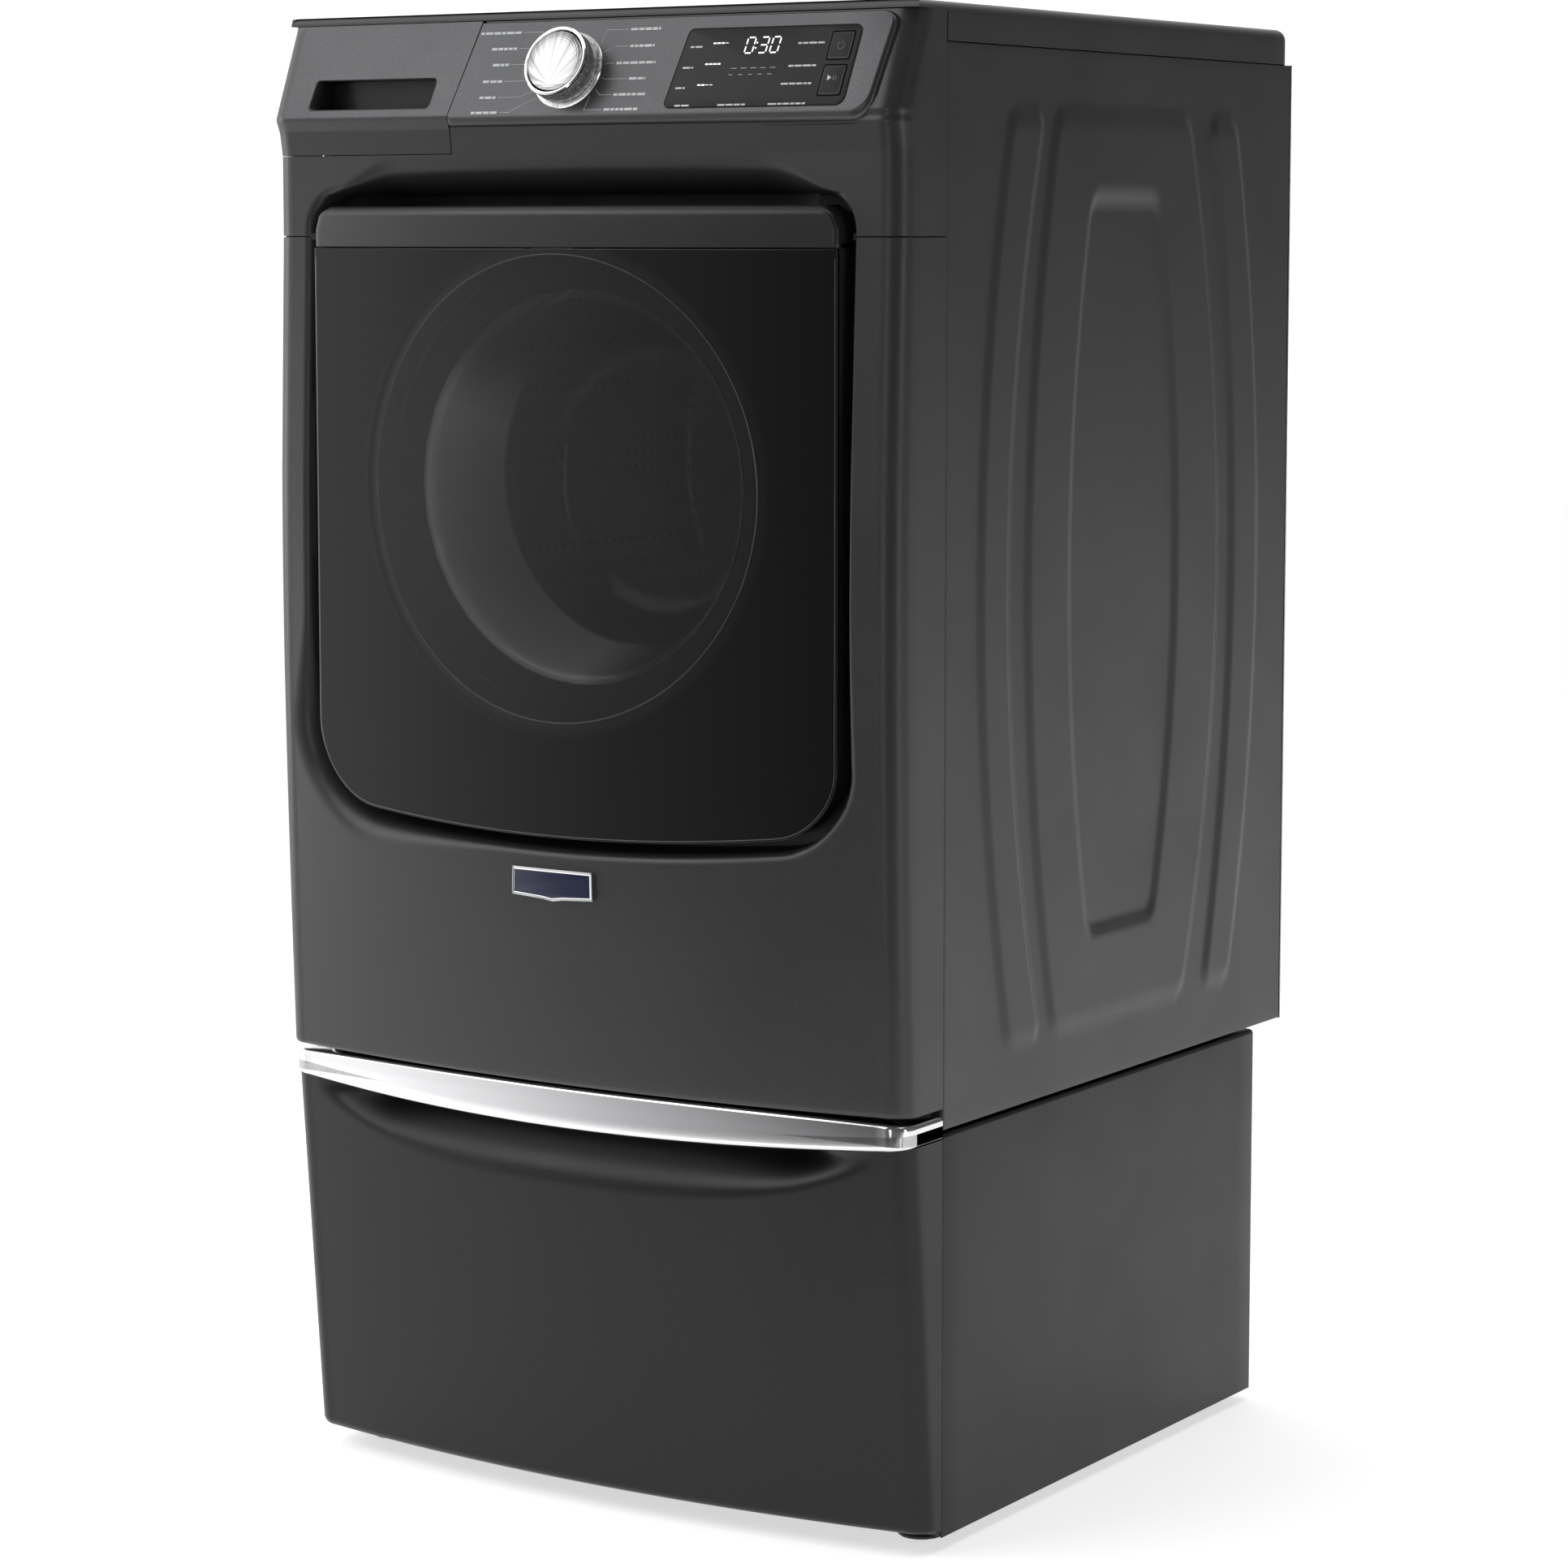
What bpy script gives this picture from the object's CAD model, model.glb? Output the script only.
"""The looks of the front load washing machine and its drawer pedestal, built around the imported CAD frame.

Metres, +Z up, the front faces -Y. Detailed meshes take the place of the plain CAD solids that show, and every
CAD solid that stays gets a procedural material.
"""

import math
import random

import bmesh
import bpy
import numpy as np
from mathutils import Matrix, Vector


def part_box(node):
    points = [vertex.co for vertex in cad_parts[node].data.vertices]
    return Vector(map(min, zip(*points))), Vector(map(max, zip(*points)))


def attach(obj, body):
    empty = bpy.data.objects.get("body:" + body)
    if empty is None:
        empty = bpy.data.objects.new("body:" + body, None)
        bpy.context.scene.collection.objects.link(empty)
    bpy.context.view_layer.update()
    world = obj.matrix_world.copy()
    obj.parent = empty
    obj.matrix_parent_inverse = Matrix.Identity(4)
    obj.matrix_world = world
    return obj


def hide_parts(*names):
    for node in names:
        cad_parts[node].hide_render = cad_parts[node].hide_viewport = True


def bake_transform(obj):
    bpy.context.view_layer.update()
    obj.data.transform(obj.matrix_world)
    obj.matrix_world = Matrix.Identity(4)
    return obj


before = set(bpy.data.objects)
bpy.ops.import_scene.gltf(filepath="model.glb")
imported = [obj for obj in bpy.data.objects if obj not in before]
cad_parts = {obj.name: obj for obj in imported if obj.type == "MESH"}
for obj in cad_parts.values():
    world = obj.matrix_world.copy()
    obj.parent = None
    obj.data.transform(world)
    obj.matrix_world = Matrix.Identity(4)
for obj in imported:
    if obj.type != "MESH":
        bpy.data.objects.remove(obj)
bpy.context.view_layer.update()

# ---------------------------------------------------------------- places taken from the frame
PANEL_LOW, PANEL_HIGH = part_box("front_panel")
SIDE_LOW, SIDE_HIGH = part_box("side_panel_right")
TOP_LOW, TOP_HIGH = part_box("top_panel")
DOOR_LOW, DOOR_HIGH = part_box("door_window")
TRIM_LOW, TRIM_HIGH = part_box("door_trim")
CASE_LOW, CASE_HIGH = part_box("pedestal_case")
DRAWER_LOW, DRAWER_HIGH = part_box("pedestal_drawer_front")
BAR_LOW, BAR_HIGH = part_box("pedestal_handle_trim")
BASKET_LOW, BASKET_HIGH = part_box("drum_basket")
BADGE_LOW, BADGE_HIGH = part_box("badge_plate")

HALF_WIDTH = PANEL_HIGH.x
SIDE_FRONT = PANEL_HIGH.y
AXIS_Z = (BASKET_LOW.z + BASKET_HIGH.z) / 2
FRONT_SEAM = PANEL_HIGH.z
FRONT_BOTTOM = PANEL_LOW.z

# The front in plan: depth ahead of the side panels at the corners, and the bow of its middle, by height
CORNER_RADIUS = 0.022
FLAT = HALF_WIDTH - CORNER_RADIUS           # the bowed face runs this far out, then the corner begins
ARC_END = FLAT + CORNER_RADIUS * math.pi / 2
FLANK_UNIT = 0.05                           # grid length that stands for a whole flank
CURL = 0.006                                # how far the front's bottom edge rolls under
CONSOLE_STEP = 0.0045                       # the console stands this far proud of the fascia round it
CURVED_BELOW = 0.950
WASHER_PROFILE = (
    (0.400, 0.0650, 0.034), (0.600, 0.0715, 0.036), (0.800, 0.0765, 0.028), (0.950, 0.0770, 0.020),
    (1.163, 0.0720, 0.008), (1.236, 0.0725, 0.003), (1.258, 0.0765, 0.001), (1.270, 0.0820, 0.0),
    (1.356, 0.0480, 0.0),
)
DRAWER_PROFILE = ((0.019, 0.0290, 0.032), (0.3725, 0.0585, 0.034))
BAR_DEPTH, BAR_BOW = 0.0615, 0.034
BAR_END_RISE, BAR_END_DROP = 0.0120, 0.0040     # the bar narrows towards its ends
SCOOP_TOP, SCOOP_DEPTH = 0.3640, 0.036

# The door and its recess
DOOR_HALF = DOOR_HIGH.x
DOOR_TOP = TRIM_HIGH.z
TRIM_Z = TRIM_LOW.z
DOOR_SAG = 0.020
DOOR_BOTTOM = DOOR_LOW.z + DOOR_SAG
DOOR_EDGE_Y = -0.380
DOOR_BOW = 0.024
RECESS_MARGIN = 0.010
RECESS_FLOOR = -0.343
MOUTH = 0.205
GLASS_CLEARING = (0.2150, 0.2230)           # see-through within the first radius, backed past the second
POCKET_LOW, POCKET_RISE, POCKET_DEPTH = 1.2005, 0.036, 0.046
DISPENSER_SLOT = (-0.2965, -0.1580, 1.2785, 1.3050)

# The console face leans back from the crease
CREASE = 1.270
CONSOLE_FRONT = -0.377
CONSOLE_TILT = math.atan2(0.034, 0.086)
KNOB_X, KNOB_U = -0.008, 0.0417
SEAM_X, SEAM_SLANT = -0.133, 0.19
OVERLAY_LEFT, OVERLAY_RIGHT, OVERLAY_LOW, OVERLAY_HIGH, OVERLAY_SLANT = 0.1020, 0.2880, 0.0045, 0.0780, 0.16
KEY_X, KEY_HALF, KEY_SLANT = 0.2733, 0.0120, OVERLAY_SLANT * 0.35
POWER_KEY, START_KEY = (0.0455, 0.0725), (0.0125, 0.0415)


# ---------------------------------------------------------------- mesh helpers
def new_object(name, bm, material=None, smooth_angle=38):
    bmesh.ops.recalc_face_normals(bm, faces=bm.faces)
    return finish_object(name, bm, material, smooth_angle)


def finish_object(name, bm, material=None, smooth_angle=38):
    mesh = bpy.data.meshes.new(name)
    bm.to_mesh(mesh)
    bm.free()
    mesh.shade_smooth()
    mesh.set_sharp_from_angle(angle=math.radians(smooth_angle))
    obj = bpy.data.objects.new(name, mesh)
    bpy.context.scene.collection.objects.link(obj)
    if material:
        mesh.materials.append(material)
    return obj


def grid_mesh(points, keep=None, flip=False):
    """A bmesh from an (n, m, 3) grid of points. keep is an (n-1, m-1) mask of the cells to fill."""
    bm = bmesh.new()
    n, m = points.shape[:2]
    verts = [[bm.verts.new(points[i, j]) for j in range(m)] for i in range(n)]
    for i in range(n - 1):
        for j in range(m - 1):
            if keep is None or keep[i, j]:
                loop = [verts[i][j], verts[i + 1][j], verts[i + 1][j + 1], verts[i][j + 1]]
                bm.faces.new(loop[::-1] if flip else loop)
    loose = [v for v in bm.verts if not v.link_faces]
    bmesh.ops.delete(bm, geom=loose, context="VERTS")
    return bm


def bevel(obj, width, segments, angle):
    modifier = obj.modifiers.new("edges", "BEVEL")
    modifier.width = width
    modifier.segments = segments
    modifier.limit_method = "ANGLE"
    modifier.angle_limit = math.radians(angle)
    modifier.harden_normals = True
    return obj


def loft(loops, closed_ends=True, ring=False):
    """Skins equal closed loops of points. ring joins the last loop to the first."""
    bm = bmesh.new()
    rings = [[bm.verts.new(p) for p in loop] for loop in loops]
    count = len(rings[0])
    pairs = list(zip(rings, rings[1:])) + ([(rings[-1], rings[0])] if ring else [])
    for low, high in pairs:
        for i in range(count):
            j = (i + 1) % count
            bm.faces.new((low[i], low[j], high[j], high[i]))
    if closed_ends and not ring:
        bm.faces.new(list(reversed(rings[0])))
        bm.faces.new(rings[-1])
    return bm


def box_mesh(low, high):
    (x0, y0, z0), (x1, y1, z1) = low, high
    base = ((x0, y0), (x1, y0), (x1, y1), (x0, y1))
    return loft([[(x, y, z) for x, y in base] for z in (z0, z1)])


def turned(profile, centre, along, steps=96, closed=False):
    """Spins an open or closed profile of (radius, distance) points about an axis through centre."""
    axis = Vector(along).normalized()
    side = axis.orthogonal().normalized()
    other = axis.cross(side)
    bm = bmesh.new()
    rings = []
    for r, d in profile:
        base = Vector(centre) + axis * d
        if r < 1e-6:
            rings.append([bm.verts.new(base)])
            continue
        rings.append([
            bm.verts.new(base + (side * math.cos(t) + other * math.sin(t)) * r)
            for t in (math.tau * k / steps for k in range(steps))
        ])
    order = list(zip(rings, rings[1:])) + ([(rings[-1], rings[0])] if closed else [])
    for a, b in order:
        for k in range(steps):
            n = (k + 1) % steps
            if len(a) == 1 and len(b) == 1:
                continue
            if len(a) == 1:
                bm.faces.new((a[0], b[n], b[k]))
            elif len(b) == 1:
                bm.faces.new((a[k], a[n], b[0]))
            else:
                bm.faces.new((a[k], a[n], b[n], b[k]))
    return bm


def tube(points, radius, closed=False, sides=8):
    """A round tube along a list of points."""
    path = [Vector(p) for p in points]
    loops = []
    count = len(path)
    normal = None
    for i, here in enumerate(path):
        before = path[i - 1] if (i or closed) else here
        after = path[(i + 1) % count] if (i < count - 1 or closed) else here
        tangent = (after - before).normalized()
        if normal is None:
            normal = tangent.orthogonal().normalized()
        normal = (normal - tangent * normal.dot(tangent)).normalized()
        other = tangent.cross(normal)
        loops.append([
            here + (normal * math.cos(t) + other * math.sin(t)) * radius
            for t in (math.tau * k / sides for k in range(sides))
        ])
    return loft(loops, closed_ends=not closed, ring=closed)


def rounded(corners, radii, steps=8):
    """Rounds the corners of a polygon given anticlockwise, each with its own radius."""
    points = []
    count = len(corners)
    for i, (corner, radius) in enumerate(zip(corners, radii)):
        here = Vector(corner)
        before = (Vector(corners[i - 1]) - here).normalized()
        after = (Vector(corners[(i + 1) % count]) - here).normalized()
        half = before.angle(after) / 2
        reach = radius / math.tan(half)
        middle = here + (before + after).normalized() * (radius / math.sin(half))
        start, end = here + before * reach - middle, here + after * reach - middle
        sweep = start.angle(end)
        for step in range(steps + 1):
            share = step / steps
            mix = start * math.sin((1 - share) * sweep) + end * math.sin(share * sweep)
            points.append(tuple(middle + mix / math.sin(sweep)))
    return points


def resampled(points, spacing):
    """Adds points along a closed outline, so that no side is longer than spacing."""
    result = []
    for (x0, z0), (x1, z1) in zip(points, points[1:] + points[:1]):
        count = max(1, math.ceil(math.hypot(x1 - x0, z1 - z0) / spacing))
        result += [(x0 + (x1 - x0) * k / count, z0 + (z1 - z0) * k / count) for k in range(count)]
    return result


def smooth(low, high, value):
    share = np.clip((np.asarray(value, float) - low) / (high - low), 0.0, 1.0)
    return share * share * (3 - 2 * share)


def quarter(count):
    """Steps round a quarter circle of radius 1, as (inset, drop) pairs from its side to its face."""
    turns = [math.pi / 2 * k / count for k in range(count + 1)]
    return [(1 - math.cos(t), 1 - math.sin(t)) for t in turns]


def rolled(share):
    """How far a quarter circle has fallen away at a share of its radius, as a share of its radius."""
    return 1 - np.sqrt(1 - np.clip(share, 0.0, 1.0) ** 2)


def box_distance(u, v, half_u, half_v, radius):
    """How far a place lies outside a rounded rectangle about the origin, negative inside it."""
    u, v = np.abs(u) - half_u + radius, np.abs(v) - half_v + radius
    return np.hypot(np.maximum(u, 0), np.maximum(v, 0)) + np.minimum(np.maximum(u, v), 0) - radius


def snapped(distance, across, heights, reach):
    """Moves the grid's places that lie within reach of an outline onto it."""
    tiny = 1e-5
    for _ in range(2):
        away = distance(across, heights)
        slope_a = (distance(across + tiny, heights) - away) / tiny
        slope_z = (distance(across, heights + tiny) - away) / tiny
        near = (np.abs(away) < reach) & (np.abs(across) < FLAT)
        across = np.where(near, across - away * slope_a, across)
        heights = np.where(near, heights - away * slope_z, heights)
    return across, heights


def lines(*spans):
    """Grid lines: each span is (start, end, spacing), and the spans follow one another."""
    values = []
    for start, end, spacing in spans:
        count = max(1, round((end - start) / spacing))
        values += [start + (end - start) * k / count for k in range(count)]
    return np.array(values + [spans[-1][1]])


# ---------------------------------------------------------------- materials
def surface(made):
    """The inputs of a material's surface shader."""
    return made.node_tree.nodes["Principled BSDF"].inputs


def material(name, colour, roughness, metallic=0.0, **extra):
    """A new material, or the frame's own one of that name, which keeps the values it has."""
    found = bpy.data.materials.get(name)
    if found:
        return found
    made = bpy.data.materials.new(name)
    made.use_nodes = True
    inputs = surface(made)
    inputs["Base Color"].default_value = (*colour, 1.0)
    inputs["Roughness"].default_value = roughness
    inputs["Metallic"].default_value = metallic
    for key, value in extra.items():
        inputs[key.replace("_", " ")].default_value = value
    return made


def drive(made, **sources):
    """Joins inputs of the surface shader, by name, to the sockets given."""
    for key, socket in sources.items():
        made.node_tree.links.new(socket, surface(made)[key.replace("_", " ")])


def node(made, kind, *sources, **values):
    """A new node. Its first inputs take the sources, sockets or values, and the rest is set by name."""
    new = made.node_tree.nodes.new(kind)
    for key, value in values.items():
        if key in new.inputs:
            new.inputs[key].default_value = value
        else:
            setattr(new, key, value)
    for target, source in zip(new.inputs, sources):
        if isinstance(source, bpy.types.NodeSocket):
            made.node_tree.links.new(source, target)
        else:
            target.default_value = source
    return new


def object_place(made):
    return node(made, "ShaderNodeTexCoord").outputs["Object"]


def object_noise(made, scale, detail=2.0, stretch=(1.0, 1.0, 1.0)):
    place = node(made, "ShaderNodeMapping", object_place(made), Scale=stretch).outputs["Vector"]
    return node(made, "ShaderNodeTexNoise", place, Scale=scale, Detail=detail).outputs["Fac"]


def ramp_colour(made, source, low, high, start=0.35, end=0.65, middle=None):
    ramp = node(made, "ShaderNodeValToRGB", source)
    stops = ramp.color_ramp.elements
    stops[0].position, stops[0].color = start, (*low, 1.0)
    stops[1].position, stops[1].color = end, (*high, 1.0)
    if middle:
        stops.new((start + end) / 2).color = (*middle, 1.0)
    return ramp.outputs["Color"]


def ranged(made, source, low, high, start=0.3, end=0.7):
    return node(made, "ShaderNodeMapRange", source, start, end, low, high).outputs["Result"]


def bumped(made, source, strength, distance):
    bump = node(made, "ShaderNodeBump", Strength=strength, Distance=distance)
    made.node_tree.links.new(source, bump.inputs["Height"])
    drive(made, Normal=bump.outputs["Normal"])


def shades(colour, dark, light):
    """A darker and a lighter shade of a colour."""
    return tuple(c * dark for c in colour), tuple(min(1.0, c * light) for c in colour)


def painted(name, colour, flake=1.0, roughness=0.36, metallic=0.72):
    """Satin metallic paint: fine flakes over a slowly varying coat, with a soft orange peel."""
    made = material(name, colour, roughness, metallic)
    low, high = shades(colour, 1 - 0.30 * flake, 1 + 0.42 * flake)
    drive(
        made, Base_Color=ramp_colour(made, object_noise(made, 2600.0, 1.0), low, high, 0.34, 0.66),
        Roughness=ranged(made, object_noise(made, 9.0, 3.0), roughness - 0.03, roughness + 0.04),
    )
    bumped(made, object_noise(made, 700.0, 2.0), 0.05, 0.0004)
    return made


def plastic(name, colour, roughness=0.5, grain=900.0, strength=0.12):
    """Moulded plastic with a fine spark-eroded grain."""
    made = material(name, colour, roughness)
    tint = object_noise(made, 30.0, 3.0)
    drive(
        made, Base_Color=ramp_colour(made, tint, *shades(colour, 0.9, 1.1)),
        Roughness=ranged(made, tint, roughness - 0.05, roughness + 0.05),
    )
    bumped(made, object_noise(made, grain, 2.0), strength, 0.0003)
    return made


def bare_metal(name, colour, roughness, stretch, scale=60.0, strength=0.08, metallic=1.0):
    """Bare metal with fine lines from rolling or brushing."""
    made = material(name, colour, roughness, metallic)
    grain = object_noise(made, scale, 4.0, stretch)
    drive(
        made, Base_Color=ramp_colour(made, grain, *shades(colour, 0.85, 1.08)),
        Roughness=ranged(made, grain, roughness - 0.07, roughness + 0.08),
    )
    bumped(made, grain, strength, 0.0002)
    return made


def polished(name, colour, roughness):
    """Smooth plated metal, with only a faint grain."""
    made = material(name, colour, roughness, 1.0)
    grain = object_noise(made, 900.0, 2.0)
    drive(made, Roughness=ranged(made, grain, roughness - 0.015, roughness + 0.015))
    bumped(made, grain, 0.01, 0.00005)
    return made


def cast(name, colour, roughness, scale, strength, metallic):
    """A rough cast or moulded surface with pores."""
    made = material(name, colour, roughness, metallic)
    grain = object_noise(made, scale, 6.0)
    drive(made, Base_Color=ramp_colour(made, grain, *shades(colour, 0.75, 1.2)))
    bumped(made, grain, strength, 0.001)
    return made


def gloss_black():
    """The display's film: gloss black with a faint smoked depth."""
    made = material("display_film", (0.012, 0.012, 0.013), 0.16, Specular_IOR_Level=0.12)
    haze = object_noise(made, 40.0, 2.0)
    drive(
        made, Base_Color=ramp_colour(made, haze, (0.010, 0.010, 0.011), (0.014, 0.014, 0.0155)),
        Roughness=ranged(made, haze, 0.16, 0.22),
    )
    return made


def lit_segments():
    """The lit figures of the display."""
    made = material(
        "lit_figures", (0.9, 0.93, 0.95), 0.4, Emission_Color=(0.92, 0.95, 1.0, 1.0), Emission_Strength=0.9
    )
    glow = object_noise(made, 900.0, 2.0)
    drive(made, Base_Color=ramp_colour(made, glow, (0.80, 0.84, 0.88), (0.95, 0.97, 1.0)))
    return made


def smoked_glass():
    """The door's outer panel: dark glass, see-through over the bowl and backed with black around it."""
    made = material("smoked_glass", (0.007, 0.007, 0.0075), 0.05, IOR=1.5)
    flat = node(
        made, "ShaderNodeVectorMath", object_place(made), (1.0, 0.0, 1.0), (0.0, 0.0, -AXIS_Z),
        operation="MULTIPLY_ADD",
    ).outputs[0]
    radius = node(made, "ShaderNodeVectorMath", flat, operation="LENGTH").outputs["Value"]
    drive(
        made, Roughness=ranged(made, object_noise(made, 14.0, 3.0), 0.04, 0.08),
        Alpha=ranged(made, radius, 0.44, 1.0, *GLASS_CLEARING),
        Specular_IOR_Level=ranged(made, radius, 0.62, 0.27, *GLASS_CLEARING),
    )
    return made


def clear_glass():
    """The bowl's thick glass: nearly clear, with a lighter band on the lower left of its sloping wall."""
    made = material("clear_glass", (0.5, 0.5, 0.5), 0.07, IOR=1.5)
    surface(made)["Specular IOR Level"].default_value = 1.0
    place = object_place(made)
    wall = ranged(made, node(made, "ShaderNodeSeparateXYZ", place).outputs["Y"], 1.0, 0.0, -0.2800, -0.2640)
    lower_left = (-0.86, 0.0, -0.51)
    toward = node(made, "ShaderNodeVectorMath", place, lower_left, operation="DOT_PRODUCT").outputs["Value"]
    middle = lower_left[2] * AXIS_Z
    side = ranged(made, toward, 0.10, 1.0, middle, middle + 0.15)
    lit = node(made, "ShaderNodeMath", wall, side, operation="MULTIPLY").outputs[0]
    drive(
        made, Base_Color=ramp_colour(made, lit, (0.20, 0.20, 0.20), (1.0, 1.0, 1.0)),
        Roughness=ranged(made, object_noise(made, 20.0, 3.0), 0.04, 0.09),
        Alpha=ranged(made, lit, 0.30, 0.90),
    )
    return made


def spun_metal(centre, turned_by):
    """Metal brushed in circles about a centre: painted bright and dark wedges run out from the middle."""
    made = material("spun_metal", (0.78, 0.78, 0.79), 0.24, 1.0, Anisotropic=0.8)
    place = node(
        made, "ShaderNodeMapping", object_place(made), centre, turned_by, vector_type="TEXTURE"
    ).outputs["Vector"]
    split = node(made, "ShaderNodeSeparateXYZ", place).outputs
    radius = node(made, "ShaderNodeVectorMath", place, operation="LENGTH").outputs["Value"]
    rings = node(made, "ShaderNodeMath", radius, 5200.0, operation="MULTIPLY").outputs[0]
    wave = node(made, "ShaderNodeMath", rings, operation="SINE").outputs[0]
    angle = node(made, "ShaderNodeMath", split["Z"], split["X"], operation="ARCTAN2").outputs[0]
    spokes = node(made, "ShaderNodeMath", angle, 5.0, operation="MULTIPLY").outputs[0]
    ripple = node(made, "ShaderNodeTexNoise", noise_dimensions="1D", Scale=1.0, Detail=6.0)
    made.node_tree.links.new(spokes, ripple.inputs["W"])
    dark, light = (0.24, 0.24, 0.242), (0.56, 0.56, 0.565)
    drive(
        made, Base_Color=ramp_colour(made, ripple.outputs["Fac"], dark, light, 0.26, 0.72),
        Tangent=node(made, "ShaderNodeTangent", direction_type="RADIAL", axis="Y").outputs["Tangent"],
    )
    bumped(made, wave, 0.10, 0.0002)
    return made


def perforated():
    """The drum's sheet: rows of small round holes pressed into brushed stainless steel."""
    made = bare_metal("drum_sheet", (0.62, 0.62, 0.63), 0.28, (1.0, 30.0, 1.0))
    holes = node(made, "ShaderNodeTexVoronoi", object_place(made), Scale=70.0, Randomness=0.0)
    mask = ranged(made, holes.outputs["Distance"], 0.0, 1.0, 0.16, 0.20)
    sheet = surface(made)["Base Color"].links[0].from_socket
    mix = node(made, "ShaderNodeMix", data_type="RGBA", A=(0.01, 0.01, 0.01, 1.0))
    made.node_tree.links.new(mask, mix.inputs["Factor"])
    made.node_tree.links.new(sheet, mix.inputs["B"])
    drive(made, Base_Color=mix.outputs["Result"])
    bumped(made, mask, 0.6, 0.001)
    return made


GRAPHITE = painted("graphite_paint", (0.036, 0.0362, 0.0368), metallic=0.3)
CONSOLE = painted("console_paint", (0.066, 0.067, 0.069), flake=1.1, roughness=0.34)
TRIM_PAINT = painted("trim_paint", (0.040, 0.0405, 0.042), flake=0.8)
PEDESTAL = painted("pedestal_paint", (0.022, 0.0222, 0.0226))
CHROME = polished("chrome", (0.80, 0.80, 0.812), 0.15)
KNOB_METAL = bare_metal("knob_metal", (0.80, 0.80, 0.81), 0.20, (1.0, 1.0, 1.0), 300.0, 0.03, metallic=0.9)
GALVANISED = bare_metal("galvanised_steel", (0.42, 0.425, 0.43), 0.40, (1.0, 1.0, 1.0), 110.0, 0.04)
STAINLESS = bare_metal("stainless", (0.60, 0.60, 0.61), 0.26, (1.0, 30.0, 1.0), metallic=0.9)
ALUMINIUM = cast("cast_aluminium", (0.60, 0.61, 0.62), 0.35, 120.0, 0.15, 0.9)
CONCRETE = cast("concrete", (0.34, 0.33, 0.32), 0.5, 90.0, 0.5, 0.0)
BLACK = plastic("black_plastic", (0.012, 0.012, 0.012), 0.45)
BLACK_SATIN = plastic("black_satin", (0.014, 0.014, 0.015), 0.30, 1200.0, 0.05)
SEAM = plastic("seam_shadow", (0.003, 0.003, 0.003), 0.8)
GREY = plastic("grey_plastic", (0.17, 0.17, 0.18), 0.5)
PALE = plastic("pale_plastic", (0.42, 0.43, 0.44), 0.5)
RUBBER = plastic("boot_rubber", (0.10, 0.10, 0.105), 0.62, 500.0, 0.2)
BELT = plastic("belt_rubber", (0.018, 0.018, 0.018), 0.7, 500.0, 0.3)
MARK = plastic("printed_marks", (0.62, 0.63, 0.64), 0.5, 1500.0, 0.02)
EDGE_LINE = plastic("glass_edge", (0.10, 0.10, 0.105), 0.25, 900.0, 0.02)
FUNNEL = plastic("funnel_plastic", (0.020, 0.020, 0.021), 0.22, 900.0, 0.03)
BLUE = plastic("badge_enamel", (0.012, 0.016, 0.050), 0.25, 900.0, 0.02)
FILM = gloss_black()
LIT = lit_segments()
SMOKED = smoked_glass()
CLEAR = clear_glass()
DRUM = perforated()


# ---------------------------------------------------------------- the front's surface
def front_profile():
    """The front in side view, as tables of height, depth and bow: smooth below, crisp at the crease."""
    z = np.array([row[0] for row in WASHER_PROFILE])
    heights = np.arange(z[0] - 0.01, z[-1] + 0.01, 0.001)
    tables = [heights]
    for column in (1, 2):
        v = np.array([row[column] for row in WASHER_PROFILE])
        slope = np.gradient(v, z)
        step = np.clip(np.searchsorted(z, heights, side="right") - 1, 0, len(z) - 2)
        width = z[step + 1] - z[step]
        t = np.clip((heights - z[step]) / width, 0.0, 1.0)
        curve = (
            (2 * t**3 - 3 * t**2 + 1) * v[step] + (t**3 - 2 * t**2 + t) * slope[step] * width
            + (-2 * t**3 + 3 * t**2) * v[step + 1] + (t**3 - t**2) * slope[step + 1] * width
        )
        straight = np.interp(heights, z, v)
        values = np.where(heights < CURVED_BELOW, curve, straight)
        values = np.convolve(np.pad(values, 2, "edge"), np.ones(5) / 5, "valid")
        tables.append(values)
    return tables


PROFILE_Z, PROFILE_DEPTH, PROFILE_BOW = front_profile()


def plan_points(across, depth, bow):
    """Points of a front in plan. across is x on the bowed face, and runs on round the corner and flank."""
    sign, reach = np.sign(across), np.abs(across)
    angle = np.clip((reach - FLAT) / (ARC_END - FLAT), 0.0, 1.0) * math.pi / 2
    edge = depth + bow * (1 - (FLAT / HALF_WIDTH) ** 2)
    flank = edge - CORNER_RADIUS
    share = np.clip((reach - ARC_END) / FLANK_UNIT, 0.0, 1.0)
    x = np.where(reach < FLAT, reach, FLAT + CORNER_RADIUS * np.sin(angle))
    round_corner = edge - CORNER_RADIUS * (1 - np.cos(angle)) - flank * share
    forward = np.where(reach < FLAT, depth + bow * (1 - (reach / HALF_WIDTH) ** 2), round_corner)
    return sign * x, SIDE_FRONT - forward


def sag(x, z):
    """How far the door's bottom edge, and what lies round it, dips at x."""
    fade = np.clip((0.75 - z) / (0.75 - DOOR_BOTTOM), 0.0, 1.0) * smooth(0.50, 0.60, z)
    return DOOR_SAG * fade * (1 - np.minimum(1.0, (x / DOOR_HALF) ** 2))


def door_outline(grow=0.0, spacing=0.006, steps=14, top=None, top_radius=0.022):
    half, high, low = DOOR_HALF + grow, (DOOR_TOP if top is None else top) + grow, DOOR_BOTTOM - grow
    corners = [(-half, low), (half, low), (half, high), (-half, high)]
    radii = [0.072 + grow, 0.056 + grow, top_radius + grow, top_radius + grow]
    return [(x, z - float(sag(x, z))) for x, z in resampled(rounded(corners, radii, steps), spacing)]


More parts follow.
